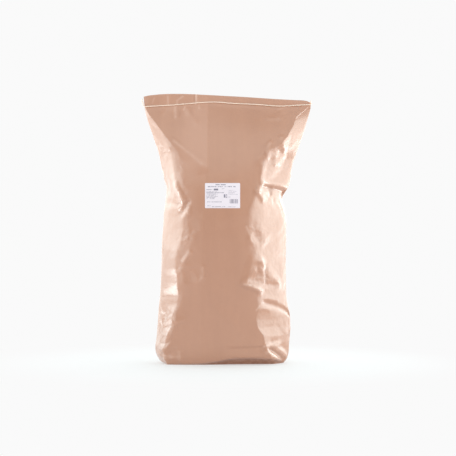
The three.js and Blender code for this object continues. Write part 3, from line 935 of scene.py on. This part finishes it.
def rounded(across, up, half_width, half_height, radius):
    """Moves the points of a square corner on to its quarter circle: beyond the corner's centre, a
    point keeps its larger distance but in its own direction."""
    dx = np.maximum(np.abs(across) - (half_width - radius), 0)
    dy = np.maximum(np.abs(up) - (half_height - radius), 0)
    pull = np.maximum(dx, dy) / np.maximum(np.hypot(dx, dy), 1e-9)
    pull = np.where((dx > 0) & (dy > 0), pull, 1)
    new_x = np.where(dx > 0, half_width - radius + dx * pull, np.abs(across))
    new_y = np.where(dy > 0, half_height - radius + dy * pull, np.abs(up))
    return np.sign(across) * new_x, np.sign(up) * new_y


def panel_front(x, height):
    """The front panel's plain surface: y = -depth * (1 - bulge * (x / edge)^2)."""
    edge = front_measure("edge", x, height)
    return -measure("depth", height) * (1 - FRONT_BULGE * (x / edge) ** 2)


def make_label():
    """Two grids, the printed face and the glued face, joined round the edge. Their columns stand
    closer together towards the two ends, where the corners are."""
    wide, tall = LABEL_SIZE
    columns, rows = LABEL_CELLS
    crowded = (wide / 2) * np.cos(np.linspace(math.pi, 0, columns + 1))
    even = np.linspace(-wide / 2, wide / 2, columns + 1)
    rising = np.linspace(-1, 1, rows + 1) * tall / 2
    across, up = np.meshgrid(0.5 * (crowded + even), rising, indexing="xy")
    across, up = rounded(across, up, wide / 2, tall / 2, LABEL_CORNER)
    x, z = across + LABEL_CENTRE[0], up + LABEL_CENTRE[1]
    glued = panel_front(x, z) - LABEL_GAP
    grids = [np.stack([x, y, z], axis=2) for y in (glued - LABEL_THICKNESS, glued)]
    points = np.concatenate([grid.reshape(-1, 3) for grid in grids])
    printed = sheet_faces(rows, columns)
    back = printed[:, ::-1] + x.size
    index = np.arange(x.size).reshape(x.shape)
    rim = np.concatenate([index[0, :-1], index[:-1, -1], index[-1, :0:-1], index[:0:-1, 0]])
    beside = np.roll(rim, -1)
    edge = np.stack([beside, rim, rim + x.size, beside + x.size], axis=1)
    u = np.tile((across / wide + 0.5).ravel(), 2)
    v = np.tile((0.5 - up / tall).ravel(), 2)
    return points, [*printed, *back, *edge], u, v


label_points, label_faces, label_u, label_v = make_label()
label = put_in_mesh("data_label", label_points, label_faces)
add_uv(label, "print", label_u, label_v)

# %% [markdown]
# ## The sewing thread
#
# A sack's mouth is closed with a two-thread chain stitch. The needle thread shows on the front as one
# run of flat stitches, and the looper thread shows on the back as a chain of loops. Both end in short
# loose tails. Each is a tube round a path. A plain round tube would do from afar, but sack thread is
# three thick strands laid together, so the tube's radius has three lobes that turn as it goes along.

# %% Paths of the two threads
STITCH = 9.0
THREAD_RADIUS = 1.4
LAY_LENGTH = 7.0
THREAD_SIDES = 12
THREAD_STEP = 0.9
LOBE = 0.18
THREAD_STAND = SEAM_HALF_THICKNESS + THREAD_RADIUS * (1 + LOBE) + 0.1
STITCH_RISE = 0.45
LOOP_REACH = 4.2
LOOP_HALF_HEIGHT = 1.9
LOOP_STAND = 1.25
LOOP_CROSSING = 1.2
TAIL_POINTS = 40
FRONT_TAILS = [[(-242, 793), (-244, 787), (-240, 781), (-241, 776), (-236, 771.5)],
               [(262, 775.5), (266, 778), (263, 783), (265, 788)]]
BACK_TAILS = [[(-228, 757), (-226, 762), (-229, 768), (-236, 771)],
              [(262, 776), (257, 773), (254, 766), (256, 758)]]


def smooth_path(knots, steps):
    """A smooth line through knots, by the same cubic as the sack's measures."""
    knots = np.array(knots, float)
    place = np.r_[0, np.cumsum(np.hypot(*np.diff(knots, axis=0).T))]
    along = np.linspace(0, place[-1], steps)
    columns = [curve_through(np.stack([place, column], axis=1), along) for column in knots.T]
    return np.stack(columns, axis=1)


def needle_path():
    """The stitches of the front: on the seam's line, with a slight waver, and standing out from the
    paper between two needle holes by rise * |sin(pi x / stitch)|^0.7."""
    x = np.linspace(-236, 262, 1000)
    height = curve_through(SEAM_LINE, x) + 0.25 * np.sin(x / 3.1) * np.sin(x / 17)
    rise = STITCH_RISE * np.abs(np.sin(math.pi * x / STITCH)) ** 0.7
    y = mouth_shift(x, SEAM_HEIGHT) - (THREAD_STAND + rise)
    return with_tails(np.stack([x, y, height], axis=1), FRONT_TAILS)


def looper_path():
    """The chain of the back: the thread goes on two steps and back one, so that each loop overlaps
    the next. x = s - a sin, z = b cos, and it stands further out where it crosses itself."""
    s = np.linspace(-234, 260, 2400)
    turn = 2 * math.pi * s / STITCH
    x = s - LOOP_REACH * np.sin(turn)
    height = curve_through(SEAM_LINE, s) + LOOP_HALF_HEIGHT * np.cos(turn)
    stand = LOOP_STAND + LOOP_CROSSING * np.sin(turn + 0.6)
    y = mouth_shift(s, SEAM_HEIGHT) + THREAD_STAND + stand
    return with_tails(np.stack([x, y, height], axis=1), BACK_TAILS)


def with_tails(run, tails):
    """Joins a loose tail to each end of a run. A tail is drawn across and up, and lies in the
    plane where the run ends."""
    first, last = (smooth_path(tail, TAIL_POINTS) for tail in tails)
    first = np.stack([first[:, 0], np.full(TAIL_POINTS, run[0, 1]), first[:, 1]], axis=1)
    last = np.stack([last[:, 0], np.full(TAIL_POINTS, run[-1, 1]), last[:, 1]], axis=1)
    return np.concatenate([first[:-2], run[3:-3], last[2:]])


def even_path(path, step):
    """The same path with points an even step apart, slightly smoothed."""
    for _ in range(3):
        path[1:-1] = 0.25 * path[:-2] + 0.5 * path[1:-1] + 0.25 * path[2:]
    place = np.r_[0, np.cumsum(np.linalg.norm(np.diff(path, axis=0), axis=1))]
    along = np.linspace(0, place[-1], int(place[-1] / step))
    return np.stack([np.interp(along, place, column) for column in path.T], axis=1), along


def tube(path, along, first):
    """Points and faces of a twisted tube: r = radius * (1 + lobe * cos(3 angle - turn of the lay)),
    in the plane square to the path. Its ends taper and are closed with one flat face."""
    ahead = np.gradient(path, axis=0)
    ahead /= np.linalg.norm(ahead, axis=1, keepdims=True)
    upward = np.cross(ahead, (0, 1, 0))
    upward /= np.linalg.norm(upward, axis=1, keepdims=True)
    outward = np.cross(ahead, upward)
    angle = np.arange(THREAD_SIDES) * 2 * math.pi / THREAD_SIDES
    lay = 2 * math.pi * along[:, None] / LAY_LENGTH
    taper = 0.55 + 0.45 * smooth_step(np.minimum(along, along[-1] - along), 0, 3)[:, None]
    radius = THREAD_RADIUS * taper * (1 + LOBE * np.cos(3 * angle - lay))
    cosine, sine = np.cos(angle)[None, :, None], np.sin(angle)[None, :, None]
    ring = cosine * upward[:, None] + sine * outward[:, None]
    points = path[:, None] + radius[..., None] * ring
    rows = len(path)
    faces = [*ring_faces(rows, THREAD_SIDES, first)]
    faces.append(first + np.arange(THREAD_SIDES)[::-1])
    faces.append(first + (rows - 1) * THREAD_SIDES + np.arange(THREAD_SIDES))
    return points.reshape(-1, 3), faces


needle_points, needle_faces = tube(*even_path(needle_path(), THREAD_STEP), 0)
looper_points, looper_faces = tube(*even_path(looper_path(), THREAD_STEP), len(needle_points))
thread_points = np.concatenate([needle_points, looper_points])
thread = put_in_mesh("sewing_thread", thread_points, [*needle_faces, *looper_faces])

# %% [markdown]
# ## Shader maths as Python
#
# A material is easier to read as a formula than as a web of nodes. The class below wraps one socket,
# and its operators add Math nodes, so `1 - mask * 0.3` builds the nodes that it says.

# %% A socket that can be added and multiplied
class Value:
    """A number that varies over the surface: the output of a node, with arithmetic."""

    def __init__(self, paint, socket):
        self.paint = paint
        self.socket = socket

    def math(self, operation, *others):
        inputs = dict(enumerate((self, *others)))
        return self.paint.node("ShaderNodeMath", {"operation": operation}, inputs)

    def __add__(self, other):
        return self.math("ADD", other)

    def __sub__(self, other):
        return self.math("SUBTRACT", other)

    def __rsub__(self, other):
        """other - self, as self * -1 + other."""
        return self.math("MULTIPLY_ADD", -1, other)

    def __mul__(self, other):
        return self.math("MULTIPLY", other)

    __radd__ = __add__
    __rmul__ = __mul__

    def above(self, edge):
        return self.math("GREATER_THAN", edge)

    def below(self, edge):
        return self.math("LESS_THAN", edge)

    def step(self, low, high, shape="SMOOTHSTEP"):
        """0 at low and 1 at high, along an even S, or along a straight line where shape is LINEAR."""
        return self.paint.node("ShaderNodeMapRange", {"interpolation_type": shape}, {
            "Value": self, "From Min": low, "From Max": high})


class Paint:
    """One material being written. Its methods add nodes and return what they give."""

    def __init__(self, name):
        self.material = bpy.data.materials.new(name)
        self.material.use_nodes = True
        self.tree = self.material.node_tree
        self.shader = self.tree.nodes["Principled BSDF"]

    def node(self, kind, settings=None, inputs=None, output=0):
        """Any node: its settings first, then a value or a link for each named socket."""
        made = self.tree.nodes.new(kind)
        for name, value in (settings or {}).items():
            setattr(made, name, value)
        for name, value in (inputs or {}).items():
            self.feed(made.inputs[name], value)
        return Value(self, made.outputs[output])

    def feed(self, socket, value):
        if isinstance(value, Value):
            self.tree.links.new(value.socket, socket)
        else:
            socket.default_value = value

    def mix(self, share, first, second):
        """A colour between two colours."""
        made = self.tree.nodes.new("ShaderNodeMix")
        made.data_type = "RGBA"
        for index, value in ((0, share), (6, first), (7, second)):
            self.feed(made.inputs[index], value)
        return Value(self, made.outputs[2])

    def noise(self, place, scale, detail=2.0, roughness=0.5, distortion=0.0):
        return self.node("ShaderNodeTexNoise", {}, {
            "Vector": place, "Scale": scale, "Detail": detail, "Roughness": roughness,
            "Distortion": distortion})

    def vector(self, operation, *inputs, output=0, **named):
        """A Vector Math node. Its output 1 is a number: a length, a distance or a dot product."""
        inputs = {**dict(enumerate(inputs)), **named}
        return self.node("ShaderNodeVectorMath", {"operation": operation}, inputs, output)

    def axis(self, place, which):
        """One coordinate of a place: 0, 1 or 2 for x, y or z."""
        return self.node("ShaderNodeSeparateXYZ", {}, {0: place}, output=which)

    def stretched(self, place, scale):
        """Coordinates with a scale of their own on each axis."""
        return self.node("ShaderNodeMapping", {}, {"Vector": place, "Scale": scale})

    def objects(self):
        return self.node("ShaderNodeTexCoord", output=3)

    def uv(self, name):
        return self.node("ShaderNodeUVMap", {"uv_map": name})

    def attribute(self, name):
        return self.node("ShaderNodeAttribute", {"attribute_name": name}, output=2)

    def near_lines(self, flat, lines):
        """What near_creases gives, as shader maths, for lines finer than the mesh. The place is flat,
        which means that its depth is 0, and it is in millimetres like the lines."""
        strongest = None
        for (x, z), (end_x, end_z), reach, strength in lines:
            line = (end_x - x, 0, end_z - z)
            away = self.vector("SUBTRACT", flat, (x, 0, z))
            along = self.vector("DOT_PRODUCT", away, line, output=1)
            share = along.step(0, line[0]**2 + line[2]**2, "LINEAR")
            gap = self.vector("DISTANCE", away, self.vector("SCALE", line, Scale=share), output=1)
            found = gap.step(reach, 0, "LINEAR") * strength
            strongest = found if strongest is None else strongest.math("MAXIMUM", found)
        return strongest

    def bump(self, height, strength, distance, normal=None):
        inputs = {"Height": height, "Strength": strength, "Distance": distance}
        if normal is not None:
            inputs["Normal"] = normal
        return self.node("ShaderNodeBump", {}, inputs)

    def finish(self, **sockets):
        for name, value in sockets.items():
            self.feed(self.shader.inputs[name.replace("_", " ")], value)
        return self.material


# %% [markdown]
# ## The look of the paper
#
# Sack kraft is brown, unbleached paper, pressed between rollers until it has a satin skin. Seen
# straight on it shows its brown. Seen at a slant its skin mirrors the softboxes, so the sides look
# almost white: a coat over the brown base does that. The colour varies with long fibres up the sack,
# streaks and soft clouds. Slack paper breaks into small facets, which a bump of scattered cells
# gives. The puckers under the stitches are finer than the mesh, so they are lines in the material:
# painted highlights and painted shade, with a small bump.

# %% Puckers under the stitches: painted highlight and painted shade
# lines of painted highlight
PAINTED_PLEAT_HIGHLIGHTS = [
    # from, to, reach in millimetres, strength, as seen from the front
    ((-81, 806), (-81, 778), 4.0, 1.0),
    ((-72, 780), (-72, 764), 4.0, 0.5),
    ((-166, 800), (-165, 777), 5.0, 0.45),
    ((-121, 800), (-138, 788), 5.0, 0.5),
    ((-138, 788), (-138, 776), 4.5, 0.6),
    ((-207, 796), (-213, 780), 4.0, 0.35),
    ((-144, 770), (-143, 738), 7.0, 0.4),
    ((-113, 770), (-118, 760), 5.0, 0.5),
    ((165, 762), (195, 771), 4.0, 0.25),
]
# lines of painted shade
PAINTED_PLEAT_SHADE = [
    ((-86, 806), (-86, 780), 3.5, 0.4),
    ((-133, 768), (-130, 740), 7.0, 0.25),
]

# %% Kraft paper
# The glint colour is a painted highlight and the shade colour a painted shade. The colour of the ridges is
# partly wear and partly painted highlight.
KRAFT_GLINT = (0.82, 0.54, 0.41, 1)
KRAFT_SHADE = (0.24, 0.085, 0.04, 1)
KRAFT_LIGHT = (0.52, 0.225, 0.115, 1)
KRAFT_DARK = (0.465, 0.193, 0.095, 1)
KRAFT_WEAR_AND_HIGHLIGHT = (0.64, 0.35, 0.235, 1)
KRAFT_LAP = (0.575, 0.275, 0.165, 1)
COAT_ROUGHNESS = 0.29
COAT_IOR = 1.75


def crinkle_cells(paint, place):
    """Distance from the nearest of scattered points, on coordinates that noise has bent, so that the
    cells' borders aren't straight."""
    bend = paint.node("ShaderNodeTexNoise", {}, {"Vector": place, "Scale": 30}, output=1)
    bent = paint.vector("ADD", place, paint.vector("SCALE", bend, Scale=0.02))
    return paint.node("ShaderNodeTexVoronoi", {}, {"Vector": bent, "Scale": 75})


def kraft_paper():
    """Rolled brown paper: long fibres up the sack, soft clouds, ridges paler as wear and painted
    highlight, valleys and listed creases darker as painted shade and without gloss, lines of painted
    highlight, small facets where it is slack, and a satin coat that mirrors broadly at a slant."""
    paint = Paint("kraft_paper")
    place = paint.objects()
    paper = paint.uv("paper")
    ridge = paint.attribute("ridge")
    fibres = paint.noise(paint.stretched(paper, (900, 90, 1)), 1, 3, 0.6)
    streaks = paint.noise(paint.stretched(paper, (26, 4, 1)), 1, 3, 0.55, 0.4)
    clouds = paint.noise(place, 7, 3, 0.55)
    mottle = paint.noise(place, 60, 3, 0.6)
    tone = fibres * 0.2 + streaks * 0.35 + clouds * 0.3 + mottle * 0.15
    colour = paint.mix(tone.step(0.3, 0.72), KRAFT_DARK, KRAFT_LIGHT)
    colour = paint.mix(paint.attribute("lap") * 0.55, colour, KRAFT_LAP)
    # lighter ridges: partly wear, partly painted highlight
    colour = paint.mix(ridge.step(0.15, 1.6) * 0.45, colour, KRAFT_WEAR_AND_HIGHLIGHT)
    # darker valleys: painted shade
    colour = paint.mix((ridge * -1).step(0.2, 2.0) * 0.25, colour, KRAFT_DARK)
    flat = paint.vector("MULTIPLY", place, (1 / MM, 0, 1 / MM))
    in_front = paint.axis(place, 1).below(MOUTH_REACH_BEHIND * MM)
    broken = mottle.step(0.3, 0.6) * 0.5 + 0.5
    pale = (paint.near_lines(flat, PAINTED_PLEAT_HIGHLIGHTS) * in_front + paint.attribute("pale")) * broken
    dark = (paint.near_lines(flat, PAINTED_PLEAT_SHADE) * in_front + paint.attribute("dark")) * broken
    # painted highlight along the listed creases and pleats
    colour = paint.mix(pale * 0.75, colour, KRAFT_GLINT)
    # painted shade in the listed creases and pleats and on the foot that turns under
    colour = paint.mix(dark * 0.6, colour, KRAFT_SHADE)
    grain = paint.noise(place, 1400, 2, 0.6)
    cockle = paint.noise(place, 55, 4, 0.6)
    bump = paint.bump(pale - dark, 0.5, 0.0012)
    bump = paint.bump(crinkle_cells(paint, place) * paint.attribute("slack"), 0.45, 0.0022, bump)
    bump = paint.bump(cockle, 0.25, 0.0012, bump)
    bump = paint.bump(grain, 0.15, 0.00008, bump)
    return paint.finish(Base_Color=colour, Roughness=mottle * 0.1 + 0.3, Normal=bump,
                        Coat_Weight=1 - dark * 0.9, Coat_Roughness=COAT_ROUGHNESS, Coat_IOR=COAT_IOR,
                        Specular_IOR_Level=1.0)


# %% [markdown]
# ## What is printed on the label
#
# A data label is full of print that is too small to read from here. So it is made of plain shapes:
# bars, blocks of broken lines, two small dark boxes and a row of upright stripes. A block of print is
# a box of ink whose rows repeat, whose right end is ragged, and which has gaps like those between
# words. A picture of a page would be simpler, but its edges would blur from close by.

# %% Print as shader maths
INK = (0.10, 0.09, 0.15, 1)
INK_STRENGTH = 0.82
LABEL_WHITE = (0.87, 0.79, 0.84, 1)


class Print:
    """Boxes and rows of ink on a (u, v) map, u from the left and v from the top, both 0 to 1."""

    def __init__(self, paint, uv_name):
        self.paint = paint
        place = paint.uv(uv_name)
        self.u, self.v = paint.axis(place, 0), paint.axis(place, 1)

    def chance(self, first, second):
        """A random number from 0 to 1 for each pair of whole numbers."""
        pair = self.paint.node("ShaderNodeCombineXYZ", {}, {0: first, 1: second})
        return self.paint.node("ShaderNodeTexWhiteNoise", {"noise_dimensions": "2D"}, {"Vector": pair})

    def box(self, left, right, top, bottom):
        """1 inside a rectangle and 0 outside it."""
        inside_u = self.u.above(left) * self.u.below(right)
        return inside_u * self.v.above(top) * self.v.below(bottom)

    def lines(self, left, right, top, bottom, rows, ragged=0.0, letter=0.011, ink=0.55):
        """Rows of broken ink. Each takes up the share ink of its own height, ends at random up to
        ragged short of the right, and has gaps in about a quarter of its letter widths."""
        place = (self.v - top) * (rows / (bottom - top))
        row = place.math("FLOOR")
        in_row = (place - row).below(ink)
        end = right - self.chance(row, 3 + 10 * left) * ragged
        letters = (self.u * (1 / letter)).math("FLOOR")
        gaps = self.chance(letters, row + 100 * top).above(0.24)
        return self.box(left, right, top, bottom) * in_row * self.u.below(end) * gaps

    def bar(self, left, right, top, bottom, letter=0.011):
        """One row of print, too small to be more than a bar."""
        return self.lines(left, right, top, bottom, 1, ink=0.99, letter=letter)

    def stripes(self, left, right, top, bottom, count):
        """Upright stripes of random width."""
        number = (self.u * (count / (right - left))).math("FLOOR")
        return self.box(left, right, top, bottom) * self.chance(number, 7).above(0.42)


def label_paper():
    """Glossy white paper with dark grey print."""
    paint = Paint("label_paper")
    page = Print(paint, "print")
    ink = page.bar(0.30, 0.60, 0.055, 0.085, 0.016)
    blocks = [
        page.bar(0.08, 0.87, 0.125, 0.165, 0.013) * 0.8,
        page.bar(0.04, 0.21, 0.25, 0.28) * 0.7,
        page.bar(0.25, 0.375, 0.225, 0.295, 0.02),
        page.bar(0.48, 0.56, 0.21, 0.24) * 0.4,
        page.bar(0.04, 0.54, 0.375, 0.40) * 0.8,
        page.lines(0.04, 0.40, 0.335, 0.655, 7, 0.14) * 0.65,
        page.lines(0.665, 0.94, 0.28, 0.48, 5, 0.12) * 0.45,
        page.bar(0.66, 0.74, 0.54, 0.575) * 0.4,
        page.box(0.535, 0.575, 0.45, 0.58),
        page.box(0.590, 0.630, 0.45, 0.595) - page.box(0.602, 0.618, 0.47, 0.575),
        page.stripes(0.70, 0.935, 0.64, 0.81, 46) * 0.85,
        page.bar(0.055, 0.48, 0.735, 0.765) * 0.65,
        page.lines(0.065, 0.16, 0.885, 0.935, 2) * 0.8,
        page.bar(0.18, 0.58, 0.925, 0.955, 0.018) * 0.6,
        page.bar(0.65, 0.88, 0.935, 0.955) * 0.7,
    ]
    for block in blocks:
        ink = ink.math("MAXIMUM", block)
    sheen = paint.noise(paint.objects(), 40, 2, 0.5)
    colour = paint.mix(ink * INK_STRENGTH, LABEL_WHITE, INK)
    return paint.finish(Base_Color=colour, Roughness=sheen * 0.1 + 0.3,
                        Normal=paint.bump(sheen, 0.1, 0.0005), Specular_IOR_Level=0.5)


# %% [markdown]
# ## The thread's look, and dressing the frame
#
# Sack thread is undyed cotton, matt, with a fuzz of loose fibres. The fuzz is far too fine for
# geometry, so it is a noise in the colour and the bump. Each piece then gets its material, rides the
# part's one body and takes the place of its CAD node.

# %% Thread
THREAD_DARK = (0.95, 0.72, 0.58, 1)
THREAD_LIGHT = (1.0, 0.84, 0.71, 1)


def cotton_thread():
    """Undyed cotton, matt and slightly fuzzy."""
    paint = Paint("cotton_thread")
    fuzz = paint.noise(paint.objects(), 1500, 3, 0.7)
    colour = paint.mix(fuzz, THREAD_DARK, THREAD_LIGHT)
    return paint.finish(Base_Color=colour, Roughness=fuzz * 0.2 + 0.7,
                        Normal=paint.bump(fuzz, 0.4, 0.0002), Specular_IOR_Level=0.3)


for piece, material in ((sack, kraft_paper()), (label, label_paper()), (thread, cotton_thread())):
    piece.data.materials.append(material)

# %% Dress the frame
for piece, node_name, slot in ((sack, "sack", "kraft_paper"), (label, "label", "label_paper"),
                               (thread, "thread", "seam_thread")):
    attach(piece, "root")
    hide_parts(node_name)

# %% [markdown]
# ## Floor, light and camera
#
# The photo is a packshot: a white floor that runs into a white background, with soft light from all
# round. A big softbox stands on either side, slightly behind the sack. The satin paper mirrors it
# wherever it turns away from the camera, which is why its sides are almost white and its front is
# not. White panels behind the sack light the edges, and panels low on the floor light the shoulders,
# which lean outwards. Two weak lights in front of the sack and one high above it keep the front from
# going dull. The camera is level and far enough away that the photo's upright lines stay upright. Its lens
# makes one pixel of the photo 3.01 mm at the middle of the sack.

# %% The floor
WHITE = (1, 1, 1, 1)
BACKGROUND_WHITE = 0.955
FLOOR_HALF_SIZE = 4.0
FLOOR_CELLS = 8
FLOOR_WHITE = 0.78
GLOW_AT_SACK = 0.4


def white_floor():
    """Partly matt white near the sack, where its shadow falls, and all glowing white further out, so
    that no horizon shows."""
    paint = Paint("pale_floor")
    place = paint.objects()
    away = paint.vector("LENGTH", place, output=1)
    share = away.step(0.1, 0.8) * (1 - GLOW_AT_SACK) + GLOW_AT_SACK
    glow = paint.node("ShaderNodeEmission", {}, {"Color": WHITE, "Strength": BACKGROUND_WHITE})
    paint.finish(Base_Color=(FLOOR_WHITE, FLOOR_WHITE, FLOOR_WHITE, 1), Roughness=0.7)
    matt = Value(paint, paint.shader.outputs["BSDF"])
    mixed = paint.node("ShaderNodeMixShader", {}, {0: share, 1: matt, 2: glow})
    paint.tree.links.new(mixed.socket, paint.tree.nodes["Material Output"].inputs["Surface"])
    return paint.material


def make_floor():
    """A flat square sheet at height 0."""
    steps = np.linspace(-FLOOR_HALF_SIZE, FLOOR_HALF_SIZE, FLOOR_CELLS + 1) / MM
    x, y = np.meshgrid(steps, steps, indexing="xy")
    points = np.stack([x, y, np.zeros_like(x)], axis=2)
    return put_in_mesh("floor", points, sheet_faces(FLOOR_CELLS, FLOOR_CELLS), smooth=False)


floor = make_floor()
floor.data.materials.append(white_floor())

# %% The studio's light
ROOM_LIGHT = 0.65
SOFTBOX_TINT = (0.87, 1.02, 1.03)
SOFT_LIGHTS = [
    # name, place, aimed at, width and height in metres, power in watts
    ("left_softbox", (-1.8, 0.15, 1.2), (0, 0, 0.5), (2.6, 1.7), 23),
    ("right_softbox", (1.85, 0.1, 1.0), (0, 0, 0.5), (2.6, 2.0), 31),
    ("back_panel", (0, 2.6, 1.1), (0, 0, 0.8), (6.5, 3.0), 60),
    ("left_back_panel", (-1.5, 1.5, 1.1), (0, 0, 0.9), (1.6, 1.3), 3),
    ("right_back_panel", (1.5, 1.5, 1.1), (0, 0, 0.9), (1.6, 1.3), 11),
    ("left_floor_panel", (-1.55, 0.6, 0.03), (-1.55, 0.6, 1), (1.0, 1.0), 22),
    ("right_floor_panel", (1.55, 0.6, 0.03), (1.55, 0.6, 1), (1.0, 1.0), 18),
    ("left_fill", (-2.3, -1.9, 0.9), (0, 0, 0.5), (1.5, 2.2), 9),
    ("right_fill", (2.3, -1.9, 0.9), (0, 0, 0.5), (1.5, 2.2), 9),
    ("top_softbox", (0, -1.7, 2.4), (0, 0, 0.5), (3.0, 2.0), 9),
]


def room_light():
    """A white world. The camera sees it as the background's white, and the sack is lit by less."""
    world = bpy.data.worlds.new("studio")
    world.use_nodes = True
    nodes, links = world.node_tree.nodes, world.node_tree.links
    ray = nodes.new("ShaderNodeLightPath")
    strength = nodes.new("ShaderNodeMapRange")
    strength.inputs["To Min"].default_value = ROOM_LIGHT
    strength.inputs["To Max"].default_value = BACKGROUND_WHITE
    links.new(ray.outputs["Is Camera Ray"], strength.inputs["Value"])
    nodes["Background"].inputs["Color"].default_value = WHITE
    links.new(strength.outputs["Result"], nodes["Background"].inputs["Strength"])
    bpy.context.scene.world = world


def soft_light(name, place, target, size, power):
    """A rectangular light that faces its target, and that the camera doesn't see."""
    data = bpy.data.lights.new(name, "AREA")
    data.shape = "RECTANGLE"
    data.size, data.size_y = size
    data.energy = power
    data.color = SOFTBOX_TINT
    light = bpy.data.objects.new(name, data)
    light.location = place
    light.rotation_euler = (Vector(target) - Vector(place)).to_track_quat("-Z", "Y").to_euler()
    light.visible_camera = False
    bpy.context.collection.objects.link(light)


room_light()
for light in SOFT_LIGHTS:
    soft_light(*light)

# %% The camera
CAMERA_DISTANCE = 4.5
PIXEL = 3.01 * MM
PHOTO_WIDTH = 456
CAMERA_X = 0.015
CAMERA_Z = 0.405
SENSOR = 36

camera_data = bpy.data.cameras.new("camera")
camera_data.sensor_width = SENSOR
camera_data.lens = SENSOR * CAMERA_DISTANCE / (PHOTO_WIDTH * PIXEL)
camera = bpy.data.objects.new("camera", camera_data)
camera.location = (CAMERA_X, -CAMERA_DISTANCE, CAMERA_Z)
camera.rotation_euler = (math.pi / 2, 0, 0)
bpy.context.collection.objects.link(camera)
bpy.context.scene.camera = camera
bpy.context.scene.view_settings.view_transform = "Standard"
